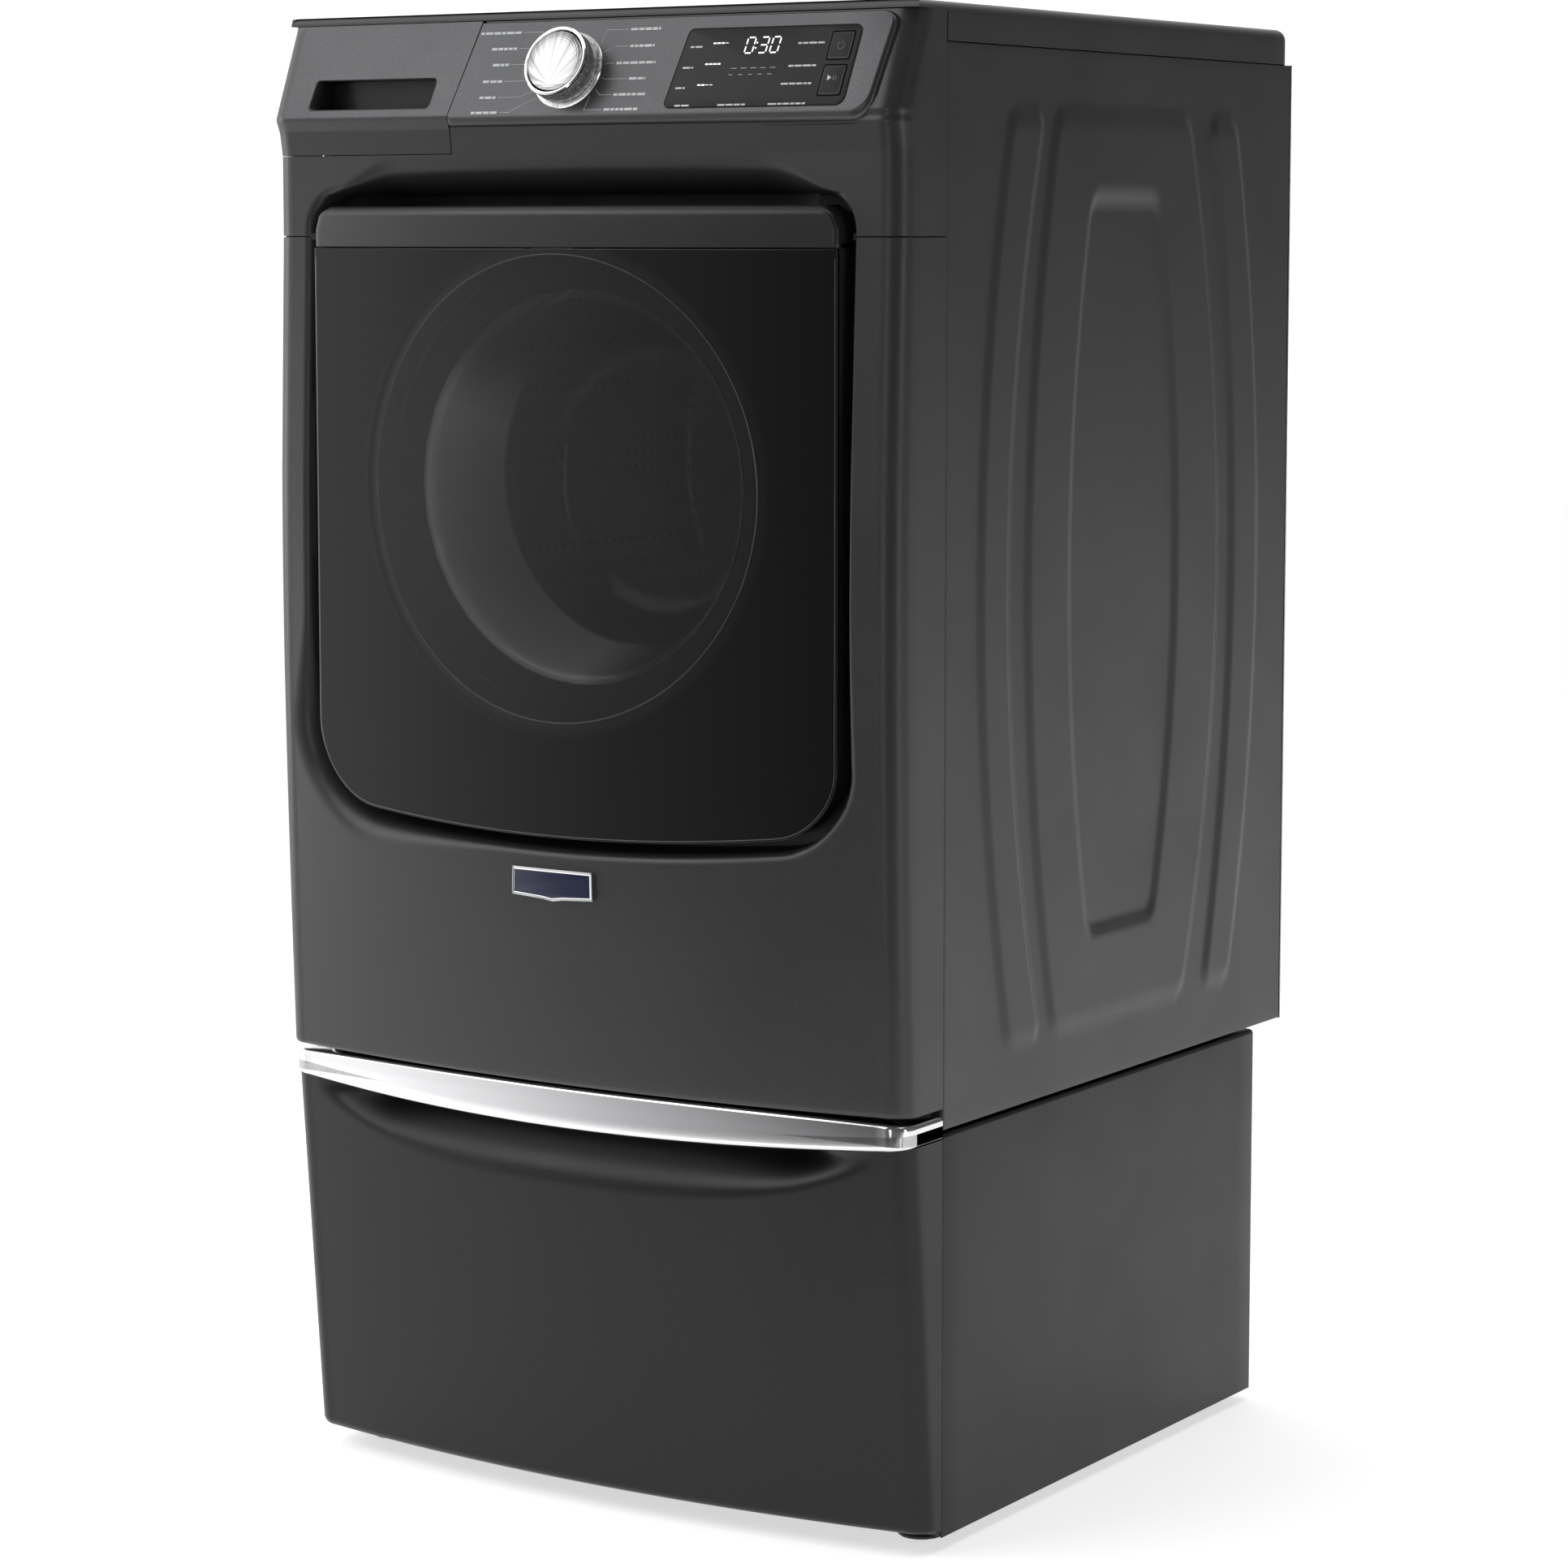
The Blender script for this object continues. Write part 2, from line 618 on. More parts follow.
def outside_recess(x, z):
    """How far a point of the unsagged front lies outside the recess's edge, negative inside it."""
    half, top, low = DOOR_HALF + RECESS_MARGIN, DOOR_TOP + RECESS_MARGIN, DOOR_BOTTOM - RECESS_MARGIN
    middle = (top + low) / 2
    radius = np.where(z > middle, 0.032, np.where(x > 0, 0.066, 0.082))
    return box_distance(x, z - middle, half, (top - low) / 2, radius)


def pocket(x, z):
    """The hand space above the door: deep at the recess's edge, rolling out at its brow and ends."""
    ends = 1 - smooth(0.200, 0.288, np.abs(x))
    share = (POCKET_LOW + POCKET_RISE * ends - z) / (POCKET_RISE * ends + 1e-9)
    return POCKET_DEPTH * ends * rolled(share)


def front_plan(a, z, back=0.0):
    """x and y of the fascia's surface at grid places a, z, set back where its edge curls under."""
    depth = np.interp(z, PROFILE_Z, PROFILE_DEPTH) - CONSOLE_STEP * smooth(1.2585, 1.268, z) - back
    return plan_points(a, depth, np.interp(z, PROFILE_Z, PROFILE_BOW))


def front_grid(across, heights):
    """The pressed front over a grid: outer surface, rolled lip, recess wall and floor, and the pocket above."""
    a, flat_z = np.meshgrid(across, heights, indexing="ij")
    a, flat_z = snapped(outside_recess, a, flat_z, 0.0012)
    away = outside_recess(a, flat_z)
    z = flat_z - sag(a, flat_z)
    x, y = front_plan(a, flat_z, CURL * rolled((FRONT_BOTTOM + CURL - flat_z) / CURL))
    hinge_side = smooth(-0.04, -0.25, a)
    radius = 0.0035 + 0.007 * smooth(0.86, 0.62, flat_z)
    radius = radius + hinge_side * (0.0105 + 0.0175 * smooth(0.82, 0.70, flat_z) - radius)
    lip = radius * rolled(1 - away / radius)
    y = y + lip + np.where((np.abs(a) < FLAT) & (flat_z > 1.100), pocket(a, flat_z), 0.0)
    inside = away < -1e-4
    return np.stack([x, np.where(inside, np.maximum(y, RECESS_FLOOR), y), z], axis=-1), away


def part(obj, body, *nodes, finish=None):
    """The piece rides on a body, and stands for the CAD nodes named."""
    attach(obj, body)
    if nodes:
        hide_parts(*nodes)
    return obj


def assembled(name, *parts, smooth_angle=38, orient=True):
    """One object from several meshes, each with its own material."""
    whole = bmesh.new()
    finishes = []
    for bm, finish in parts:
        if finish not in finishes:
            finishes.append(finish)
        if orient:
            bmesh.ops.recalc_face_normals(bm, faces=bm.faces)
        for face in bm.faces:
            face.material_index = finishes.index(finish)
        mesh = bpy.data.meshes.new("piece")
        bm.to_mesh(mesh)
        bm.free()
        whole.from_mesh(mesh)
        bpy.data.meshes.remove(mesh)
    obj = finish_object(name, whole, None, smooth_angle)
    for finish in finishes:
        obj.data.materials.append(finish)
    return obj


def hemmed(points, side, depth=0.006):
    """Turns the first or last row of a sheet's grid inwards, as the edge of a pressing is."""
    row = points[:, 0 if side == "low" else -1].copy()
    row[:, 1] += depth
    row = row[:, None]
    return np.concatenate([row, points] if side == "low" else [points, row], axis=1)


# ---------------------------------------------------------------- pressed front
FACE_LINES = (
    (-(ARC_END + FLANK_UNIT), -ARC_END, 0.0125), (-ARC_END, -FLAT, 0.0035), (-FLAT, -0.3125, 0.0014),
    (-0.3125, -0.2955, 0.0010), (-0.2955, -0.2940, 0.0015), (-0.2940, -0.2080, 0.0022),
)
ACROSS = lines(
    *FACE_LINES, (-0.2080, 0.2080, 0.0080),
    *[(-end, -start, spacing) for start, end, spacing in reversed(FACE_LINES)],
)


def build_front_panel():
    """The pressed front round the recess, with the loading mouth's rim and the latch hook's dark plate."""
    heights = lines(
        (FRONT_BOTTOM, FRONT_BOTTOM + CURL, 0.001), (FRONT_BOTTOM + CURL, 0.600, 0.010), (0.600, 0.637, 0.0025),
        (0.637, 0.6385, 0.0015), (0.6385, 0.732, 0.0022), (0.732, 1.155, 0.009),
        (1.155, FRONT_SEAM - 0.0018, 0.002), (FRONT_SEAM - 0.0018, FRONT_SEAM - 0.0006, 0.0006),
    )
    points, away = front_grid(ACROSS, heights)
    radius = np.hypot(points[..., 0], points[..., 2] - AXIS_Z)
    snap = (np.abs(radius - MOUTH) < 0.0046) & (away < -0.02)
    scale = np.where(snap, MOUTH / radius, 1.0)
    points[..., 0] *= scale
    points[..., 2] = AXIS_Z + (points[..., 2] - AXIS_Z) * scale
    radius = np.hypot(points[..., 0], points[..., 2] - AXIS_Z)
    hole = radius < MOUTH - 1e-5
    points = hemmed(hemmed(points, "high"), "low", 0.010)
    hole = np.pad(hole, ((0, 0), (1, 1)))
    keep = ~(hole[:-1, :-1] | hole[1:, :-1] | hole[1:, 1:] | hole[:-1, 1:])
    sheet = grid_mesh(points, keep)
    slot_rim = box_mesh((0.250, RECESS_FLOOR - 0.0006, 0.905), (0.274, RECESS_FLOOR + 0.004, 0.945))
    front, back = RECESS_FLOOR - 0.0007, RECESS_FLOOR + 0.0004
    mouth = turned([
        (MOUTH - 0.0004, RECESS_FLOOR + 0.0060), (MOUTH - 0.0004, back), (MOUTH + 0.0007, front),
        (MOUTH + 0.0135, front), (MOUTH + 0.0139, back), (MOUTH + 0.0016, back),
        (MOUTH + 0.0010, RECESS_FLOOR + 0.0060),
    ], (0.0, 0.0, AXIS_Z), (0, 1, 0), 128, closed=True)
    bmesh.ops.recalc_face_normals(mouth, faces=mouth.faces)
    panel = assembled(
        "pressed_front_panel", (sheet, GRAPHITE), (mouth, GRAPHITE), (slot_rim, SEAM),
        smooth_angle=50, orient=False,
    )
    part(panel, "cabinet", "front_panel", finish="graphite_paint")


def seam_at(z):
    """Where the dispenser's right edge lies at a height."""
    return SEAM_X + 0.2 * np.maximum(0.0, z - CREASE)


def build_fascia():
    """The fascia above the seam, with the hand pocket, and what shows in the gaps round it."""
    low_z = lines(
        (FRONT_SEAM + 0.0006, FRONT_SEAM + 0.0018, 0.0006), (FRONT_SEAM + 0.0018, 1.1985, 0.0022),
        (1.1985, 1.2000, 0.0015), (1.2000, 1.2065, 0.0006), (1.2065, 1.2365, 0.0015),
    )
    points, away = front_grid(ACROSS, low_z)
    floor = (away < -1e-4) & (points[..., 2] < 1.1870)
    points[..., 1] = np.where(floor, RECESS_FLOOR, points[..., 1])
    low = grid_mesh(hemmed(points, "low"))
    deep = bmesh.new()
    for face in list(low.faces):
        centre = face.calc_center_median()
        if centre.y > -0.352 and centre.z > 1.1870 and abs(centre.x) < 0.290:
            deep.faces.new([deep.verts.new(v.co) for v in face.verts])
            low.faces.remove(face)

    high_z = lines((1.2365, 1.2560, 0.0035), (1.2560, 1.2760, 0.0010), (1.2760, 1.3560, 0.0080))
    right = ACROSS[ACROSS > SEAM_X + 0.004]
    across = np.concatenate([[0.0], right])
    a, z = np.meshgrid(across, high_z, indexing="ij")
    a[0] = seam_at(z[0]) + 0.0004
    a[1:] = np.maximum(a[1:], a[0] + 0.0006 * np.arange(1, len(across))[:, None])
    points = front_grid_at(a, z)
    inner = points[:1].copy()
    inner[..., 1] += 0.012
    high = grid_mesh(hemmed(np.concatenate([inner, points]), "high", 0.004))
    fascia = assembled(
        "pressed_fascia", (low, GRAPHITE), (deep, SEAM), (high, GRAPHITE), smooth_angle=50, orient=False
    )
    part(fascia, "cabinet", "upper_fascia", finish="graphite_paint")

    strip_z = np.array([FRONT_SEAM - 0.003, FRONT_SEAM + 0.003])
    a, z = np.meshgrid(ACROSS, strip_z, indexing="ij")
    points = front_grid_at(a, z)
    points[..., 0] *= (HALF_WIDTH - 0.0016) / HALF_WIDTH
    points[..., 1] += 0.0016
    keep = np.abs(ACROSS[:-1]) > DOOR_HALF + RECESS_MARGIN
    backing = grid_mesh(points, keep[:, None])
    part(finish_object("front_seam_backing", backing, SEAM), "cabinet")

    floor = box_mesh((-0.318, -0.300, 1.2300), (SEAM_X + 0.030, -0.296, 1.3300))
    part(new_object("dispenser_bay_shadow", floor, BLACK), "cabinet")


def front_grid_at(a, z):
    """The front above the recess, at given places."""
    return np.stack([*front_plan(a, z), z], axis=-1)


# ---------------------------------------------------------------- console
def on_console(x, u, n):
    """A point in the leaning console's own frame: across, up the face, and into it."""
    cos, sin = math.cos(CONSOLE_TILT), math.sin(CONSOLE_TILT)
    return (x, CONSOLE_FRONT + u * sin + n * cos, CREASE + u * cos - n * sin)


def outline_normals(points):
    """Outward directions along an anticlockwise outline."""
    result = []
    count = len(points)
    for i in range(count):
        (x0, y0), (x1, y1) = points[i - 1], points[(i + 1) % count]
        tangent = Vector((x1 - x0, y1 - y0)).normalized()
        result.append((tangent.y, -tangent.x))
    return result


def console_plate(outline, front, back, edge, segments=4):
    """A thin plate on the console with a softly rounded front edge."""
    normals = outline_normals(outline)
    loops = [[on_console(x, u, back) for x, u in outline]]
    for inset, drop in quarter(segments):
        loops.append([
            on_console(x - nx * inset * edge, u - nu * inset * edge, front + drop * edge)
            for (x, u), (nx, nu) in zip(outline, normals)
        ])
    return loft(loops)


def console_outline():
    low, high = 0.0012, 0.0900
    corners = [
        (SEAM_X + SEAM_SLANT * low + 0.0006, low), (0.310, low), (0.321, high),
        (SEAM_X + SEAM_SLANT * high + 0.0006, high),
    ]
    return resampled(rounded(corners, [0.0005, 0.018, 0.010, 0.0005], 10), 0.004)


def build_console_face():
    """The console's own moulding, with a bevel below and at its right end."""
    outline = console_outline()
    normals = outline_normals(outline)
    loops = []
    steps = 7
    for k in range(steps + 1):
        angle = math.pi / 2 * (1 - k / steps)
        loop = []
        for (x, u), (nx, nu) in zip(outline, normals):
            right, down = max(0.0, nx), max(0.0, -nu)
            depth = max(0.0004, math.hypot(0.0091 * down, 0.0045 * right))
            spread = math.sin(angle)
            loop.append(on_console(
                x + 0.0045 * right * spread, u - 0.0088 * down * spread,
                -0.0006 + depth * (1 - math.cos(angle)),
            ))
        loops.append(loop)
    base = [(x, y + 0.0035, z - 0.0014) for x, y, z in loops[0]]
    moulding = cut_out(loft([base] + loops), key_holes())
    face = assembled("console_moulding", (moulding, CONSOLE), smooth_angle=30)
    part(face, "cabinet", "console_face", finish="console_grey")

    seam = []
    for (x, u), (nx, nu) in zip(outline, normals):
        right, down = max(0.0, nx), max(0.0, -nu)
        seam.append(on_console(
            x + 0.0054 * right + 0.0004 * nx, u - 0.0098 * down + 0.0004 * nu,
            -0.0006 + max(0.0010, math.hypot(0.0091 * down, 0.0045 * right)) + 0.0004,
        ))
    part(new_object("console_seam", tube(seam, 0.0007, closed=True), SEAM), "cabinet")


def strip(start, end, width, n, lift=0.00012):
    """A printed line on the console, from one (x, u) to another."""
    (x0, u0), (x1, u1) = start, end
    along = Vector((x1 - x0, u1 - u0)).normalized()
    sx, su = -along.y * width / 2, along.x * width / 2
    base = [(x0 + sx, u0 + su), (x0 - sx, u0 - su), (x1 - sx, u1 - su), (x1 + sx, u1 + su)]
    return loft([[on_console(x, u, n + d) for x, u in base] for d in (lift, 0.0)])


def cut_out(bm, holes):
    """A solid with other solids taken out of it."""
    pieces = [new_object("cutting_" + str(i), piece, SEAM) for i, piece in enumerate([bm] + holes)]
    for hole in pieces[1:]:
        change = pieces[0].modifiers.new("cut", "BOOLEAN")
        change.object, change.operation, change.solver = hole, "DIFFERENCE", "EXACT"
    depsgraph = bpy.context.evaluated_depsgraph_get()
    mesh = bpy.data.meshes.new_from_object(pieces[0].evaluated_get(depsgraph))
    result = bmesh.new()
    result.from_mesh(mesh)
    bpy.data.meshes.remove(mesh)
    for piece in pieces:
        old = piece.data
        bpy.data.objects.remove(piece)
        bpy.data.meshes.remove(old)
    return result


def key_holes():
    """What is cut out of the console for the two keys."""
    return [
        loft([[on_console(x, u, n) for x, u in key_outline(span, -0.0001)] for n in (0.0046, -0.0100)])
        for span in (POWER_KEY, START_KEY)
    ]


def gather(meshes):
    """One bmesh from several."""
    whole = bmesh.new()
    for bm in meshes:
        bmesh.ops.recalc_face_normals(bm, faces=bm.faces)
        mesh = bpy.data.meshes.new("piece")
        bm.to_mesh(mesh)
        bm.free()
        whole.from_mesh(mesh)
        bpy.data.meshes.remove(mesh)
    return whole


# Plain bars stand for the printed cycle names: where each starts beside the knob, and how long it is
CYCLE_BARS = (
    (-1, 0.0800, 0.0640, 0.0400, 0.045), (-1, 0.0645, 0.0640, 0.0400, 0.028), (-1, 0.0490, 0.0680, 0.0420, 0.018),
    (-1, 0.0330, 0.0700, 0.0420, 0.022), (-1, 0.0175, 0.0730, 0.0460, 0.018), (-1, 0.0030, 0.0660, 0.0540, 0.030),
    (1, 0.0800, 0.0560, 0.0300, 0.032), (1, 0.0640, 0.0600, 0.0440, 0.026), (1, 0.0480, 0.0500, 0.0400, 0.042),
    (1, 0.0330, 0.0680, 0.0420, 0.018), (1, 0.0180, 0.0560, 0.0410, 0.034), (1, 0.0040, 0.0500, 0.0280, 0.036),
)


def word(x, u, length, n, height=0.0038, *, seed):
    """A row of short plain bars, in place of a printed word."""
    chance = random.Random(seed * 7 + round(length * 1e4))
    result = []
    here = x
    while here < x + length - 0.001:
        run = min(chance.uniform(0.0035, 0.0085), x + length - here)
        result.append(strip((here, u), (here + run, u), height * 0.62, n))
        here += run + 0.0011
    return result


def build_cycle_marks():
    marks = []
    for index, (side, u, far, near, length) in enumerate(CYCLE_BARS):
        lean = SEAM_SLANT * 0.3 * (u - KNOB_U)
        start = KNOB_X + side * far + lean
        begin = start - length if side < 0 else start
        marks += word(begin, u, length, -0.0008, seed=index)
        angle = math.atan2(u - KNOB_U, side * 0.045)
        rim = (KNOB_X + 0.0385 * math.cos(angle), KNOB_U + 0.0385 * math.sin(angle))
        knee = (KNOB_X + side * near + lean, u)
        marks.append(strip((start - side * 0.002, u), knee, 0.00030, -0.0008))
        if math.hypot(knee[0] - rim[0], knee[1] - rim[1]) > 0.001:
            marks.append(strip(knee, rim, 0.00030, -0.0008))
    part(new_object("cycle_marks", gather(marks), MARK), "cabinet")


def overlay_outline(grow=0.0):
    """The slanted outline of the film over the display and the option zones."""
    low, high = OVERLAY_LOW - grow, OVERLAY_HIGH + grow
    corners = [
        (OVERLAY_LEFT + OVERLAY_SLANT * low - grow, low), (OVERLAY_RIGHT + grow, low),
        (OVERLAY_RIGHT + grow + KEY_SLANT * high, high), (OVERLAY_LEFT + OVERLAY_SLANT * high - grow, high),
    ]
    return resampled(rounded(corners, [0.006, 0.009, 0.007, 0.006], 8), 0.004)


SEGMENTS = {
    "top": ((0.0, 1.0), (0.55, 1.0)), "middle": ((0.0, 0.5), (0.55, 0.5)), "bottom": ((0.0, 0.0), (0.55, 0.0)),
    "upper_left": ((0.0, 0.5), (0.0, 1.0)), "upper_right": ((0.55, 0.5), (0.55, 1.0)),
    "lower_left": ((0.0, 0.0), (0.0, 0.5)), "lower_right": ((0.55, 0.0), (0.55, 0.5)),
}
FIGURES = {
    "0": ("top", "bottom", "upper_left", "upper_right", "lower_left", "lower_right"),
    "3": ("top", "middle", "bottom", "upper_right", "lower_right"),
}


def figure(text, x, u, size, n):
    """One lit figure of the display, made of bars."""
    result = []
    for (x0, u0), (x1, u1) in (SEGMENTS[name] for name in FIGURES[text]):
        a = Vector((x + (x0 + 0.12 * u0) * size, u + u0 * size))
        b = Vector((x + (x1 + 0.12 * u1) * size, u + u1 * size))
        gap = (b - a).normalized() * size * 0.07
        result.append(strip(a + gap, b - gap, size * 0.085, n))
    return result


def ring_marks(x, u, radius, start, end, width, n, steps=14):
    """An arc of short bars, with its start and end in degrees."""
    angles = [math.radians(start + (end - start) * k / steps) for k in range(steps + 1)]
    places = [(x + radius * math.cos(t), u + radius * math.sin(t)) for t in angles]
    return [strip(a, b, width, n) for a, b in zip(places, places[1:])]


def build_overlay():
    """The dark film, its rim, the lit display and the plain printed marks."""
    n = -0.0011
    film = cut_out(console_plate(overlay_outline(), n, 0.0010, 0.0006), key_holes())
    part(assembled("display_film", (film, FILM)), "cabinet", "display_overlay", finish="black_gloss")
    rim = tube([on_console(x, u, -0.0007) for x, u in overlay_outline(0.0004)], 0.0005, closed=True)
    part(new_object("display_rim", rim, SEAM), "cabinet")

    n -= 0.0002
    lit = []
    for text, x in (("0", 0.1760), ("3", 0.1900), ("0", 0.2020)):
        lit += figure(text, x, 0.0540, 0.0145, n)
    for x, u in ((0.1870, 0.0585), (0.1876, 0.0635)):
        lit += ring_marks(x, u, 0.0005, 0, 360, 0.0008, n, 6)
    for x, u, bright in ((0.1420, 0.0640, 3), (0.1380, 0.0445, 4), (0.1345, 0.0250, 2)):
        for k in range(4):
            start = x + 0.0042 * k
            lit.append(strip((start, u), (start + 0.0032, u), 0.0013 if k < bright else 0.0005, n))
    part(new_object("lit_display", gather(lit), LIT), "cabinet")

    printed = []
    for index, (x, u, length) in enumerate((
        (0.1185, 0.0610, 0.0125), (0.1150, 0.0415, 0.0110), (0.1120, 0.0225, 0.0100),
        (0.1150, 0.0060, 0.0150), (0.1600, 0.0060, 0.0290), (0.2120, 0.0060, 0.0380),
        (0.2300, 0.0620, 0.0270), (0.2250, 0.0410, 0.0280), (0.2210, 0.0245, 0.0310),
    )):
        printed += word(x, u, length, n, 0.0026, seed=index + 30)
    for k in range(5):
        for start, end, u in ((0.166, 0.172, 0.0400), (0.165, 0.169, 0.0340)):
            printed.append(strip((start + 0.010 * k, u), (end + 0.010 * k, u), 0.0004, n))
    part(new_object("printed_display_marks", gather(printed), MARK), "cabinet")


def key_outline(span, shrink):
    low, high = span
    corners = [
        (KEY_X - KEY_HALF + shrink + KEY_SLANT * (low - 0.04), low + shrink),
        (KEY_X + KEY_HALF - shrink + KEY_SLANT * (low - 0.04), low + shrink),
        (KEY_X + KEY_HALF - shrink + KEY_SLANT * (high - 0.04), high - shrink),
        (KEY_X - KEY_HALF + shrink + KEY_SLANT * (high - 0.04), high - shrink),
    ]
    return resampled(rounded(corners, [0.002] * 4, 5), 0.003)


def build_keys():
    n = -0.0014
    for name, span in (("power_key", POWER_KEY), ("start_key", START_KEY)):
        middle = (span[0] + span[1]) / 2
        x = KEY_X + KEY_SLANT * (middle - 0.04)
        cap = console_plate(key_outline(span, 0.0006), n, 0.0030, 0.0007)
        frame_line = tube([on_console(a, b, n) for a, b in key_outline(span, 0.0022)], 0.00014, True, 5)
        if name == "power_key":
            marks = ring_marks(x, middle, 0.0034, 125, 415, 0.0007, n)
            marks.append(strip((x, middle + 0.0012), (x, middle + 0.0050), 0.0007, n))
        else:
            flag = [(x - 0.0052, middle - 0.0004), (x - 0.0012, middle + 0.0022), (x - 0.0052, middle + 0.0048)]
            marks = [loft([[on_console(a, b, n + d) for a, b in flag] for d in (0.0001, -0.0001)])]
            for offset in (0.0010, 0.0034):
                marks.append(strip((x + offset, middle), (x + offset, middle + 0.0045), 0.0008, n))
            marks += word(x - 0.0045, middle - 0.0058, 0.0090, n, 0.0014, seed=71)
        key = assembled(name + "_cap", (cap, FILM), (frame_line, GREY), (gather(marks), MARK))
        part(key, name, name, finish="black_gloss")


KNOB_CENTRE = on_console(KNOB_X, KNOB_U, 0.0)
KNOB_OUT = (0.0, -math.cos(CONSOLE_TILT), math.sin(CONSOLE_TILT))
SPUN = spun_metal(KNOB_CENTRE, (CONSOLE_TILT, 0.0, 0.0))


def build_knob():
    """The dial's ribbed ring on its flange, and the brushed button in its middle."""
    flange = [
        (0.0, -0.002), (0.0352, -0.002), (0.0362, 0.0008), (0.0364, 0.0020), (0.0358, 0.0030), (0.0338, 0.0035),
        (0.0326, 0.0040),
    ]
    crown = [
        (0.0326, 0.0205), (0.0329, 0.0216), (0.0326, 0.0232), (0.0314, 0.0242), (0.0300, 0.0240),
        (0.0293, 0.0228),
    ]
    body = turned(flange, KNOB_CENTRE, KNOB_OUT, 144)
    rim = turned(crown, KNOB_CENTRE, KNOB_OUT, 144)
    axis = Vector(KNOB_OUT)
    side = axis.orthogonal().normalized()
    other = axis.cross(side)
    ribs, steps = 180, 4
    loops = []
    for d in (0.0038, 0.0044, 0.0198, 0.0206):
        loop = []
        for k in range(ribs * steps):
            angle = math.tau * k / (ribs * steps)
            r = 0.0322 + (0.00042 if k % steps in (1, 2) and 0.004 < d < 0.020 else 0.0)
            loop.append(Vector(KNOB_CENTRE) + axis * d + (side * math.cos(angle) + other * math.sin(angle)) * r)
        loops.append(loop)
    knurl = loft(loops, closed_ends=False)
    well = turned([(0.0296, 0.0226), (0.0292, 0.0176), (0.0, 0.0174)], KNOB_CENTRE, KNOB_OUT, 96)
    ring = assembled("knob_grip_ring", (body, KNOB_METAL), (knurl, KNOB_METAL), (rim, CHROME), (well, BLACK))
    part(ring, "knob", "knob_ring", finish="knob_metal")

    cap = turned([
        (0.0, 0.0259), (0.0100, 0.0257), (0.0200, 0.0251), (0.0262, 0.0243), (0.0278, 0.0238), (0.0284, 0.0228),
        (0.0284, 0.0196),
    ], KNOB_CENTRE, KNOB_OUT, 144)
    part(assembled("knob_cap", (cap, SPUN)), "knob_button", "knob_button", finish="knob_metal")


# ---------------------------------------------------------------- dispenser drawer
def build_dispenser_front():
    """The dispenser's front: grey above the crease and graphite below it, with a finger slot."""
    x_low, x_high, z_low, z_high = DISPENSER_SLOT
    base = lines(
        (-(ARC_END + FLANK_UNIT), -ARC_END, 0.0125), (-ARC_END, -FLAT, 0.0035), (-FLAT, -0.3020, 0.003),
        (-0.3020, -0.2900, 0.0008), (-0.2900, -0.1640, 0.006), (-0.1640, -0.1520, 0.0008),
        (-0.1520, SEAM_X - 0.0006, 0.0025),
    )
    heights = lines(
        (1.2372, 1.2384, 0.0006), (1.2384, 1.2570, 0.004), (1.2570, 1.2740, 0.0009), (1.2740, 1.2850, 0.0008),
        (1.2850, 1.2990, 0.003), (1.2990, 1.3090, 0.0008), (1.3090, 1.3552, 0.006), (1.3552, 1.3560, 0.0004),
    )
    x0, z = np.meshgrid(base, heights, indexing="ij")

    def distance(x, z):
        middle_x, middle_z = (x_low + x_high) / 2, (z_low + z_high) / 2
        return box_distance(x - middle_x, z - middle_z, (x_high - x_low) / 2, (z_high - z_low) / 2, 0.004)

    x0, z = snapped(distance, x0, z, 0.00046)
    d = distance(x0, z)
    slope = np.interp(x0, [-0.33, -0.2965, -0.158, -0.133], [0.0, 0.113, 0.113, 0.2])
    a = x0 + slope * np.maximum(0.0, z - CREASE)
    depth = np.interp(z, PROFILE_Z, PROFILE_DEPTH)
    x, y = plan_points(a, depth, np.interp(z, PROFILE_Z, PROFILE_BOW))
    lip = 0.0012 * rolled(1 - d / 0.0012)
    y = np.where(d < -2e-4, -0.3385, y + lip)
    points = np.stack([x, y, z], axis=-1)
    points = hemmed(hemmed(points, "low"), "high", 0.004)
    last = points[-1:].copy()
    last[..., 1] += 0.030
    obj = finish_object("dispenser_moulding", grid_mesh(np.concatenate([points, last])), None, 45)
    for finish in (CONSOLE, GRAPHITE, BLACK_SATIN):
        obj.data.materials.append(finish)
    for face in obj.data.polygons:
        centre = face.center
        inside = x_low < centre.x + 0.01 < x_high + 0.02 and z_low - 0.0006 < centre.z < z_high + 0.0006
        if centre.z < 1.2588:
            face.material_index = 1
        elif inside and centre.y > -0.350 and centre.z > z_low + 0.0010:
            face.material_index = 2
    part(obj, "dispenser", "dispenser_front", finish="console_grey")

    line = [(float(seam_at(z)) - 0.0001, z) for z in (1.2372, 1.2500, 1.2600, 1.2700, 1.3000, 1.3550)]
    seam = [(x, float(np.interp(z, PROFILE_Z, -PROFILE_DEPTH)) + SIDE_FRONT + 0.0012, z) for x, z in line]
    part(new_object("dispenser_seam", tube(seam, 0.0006), SEAM), "cabinet")


# ---------------------------------------------------------------- door
def door_front(x):
    """The door's bowed front surface."""
    return DOOR_EDGE_Y - DOOR_BOW * (1 - (np.asarray(x, float) / DOOR_HALF) ** 2)


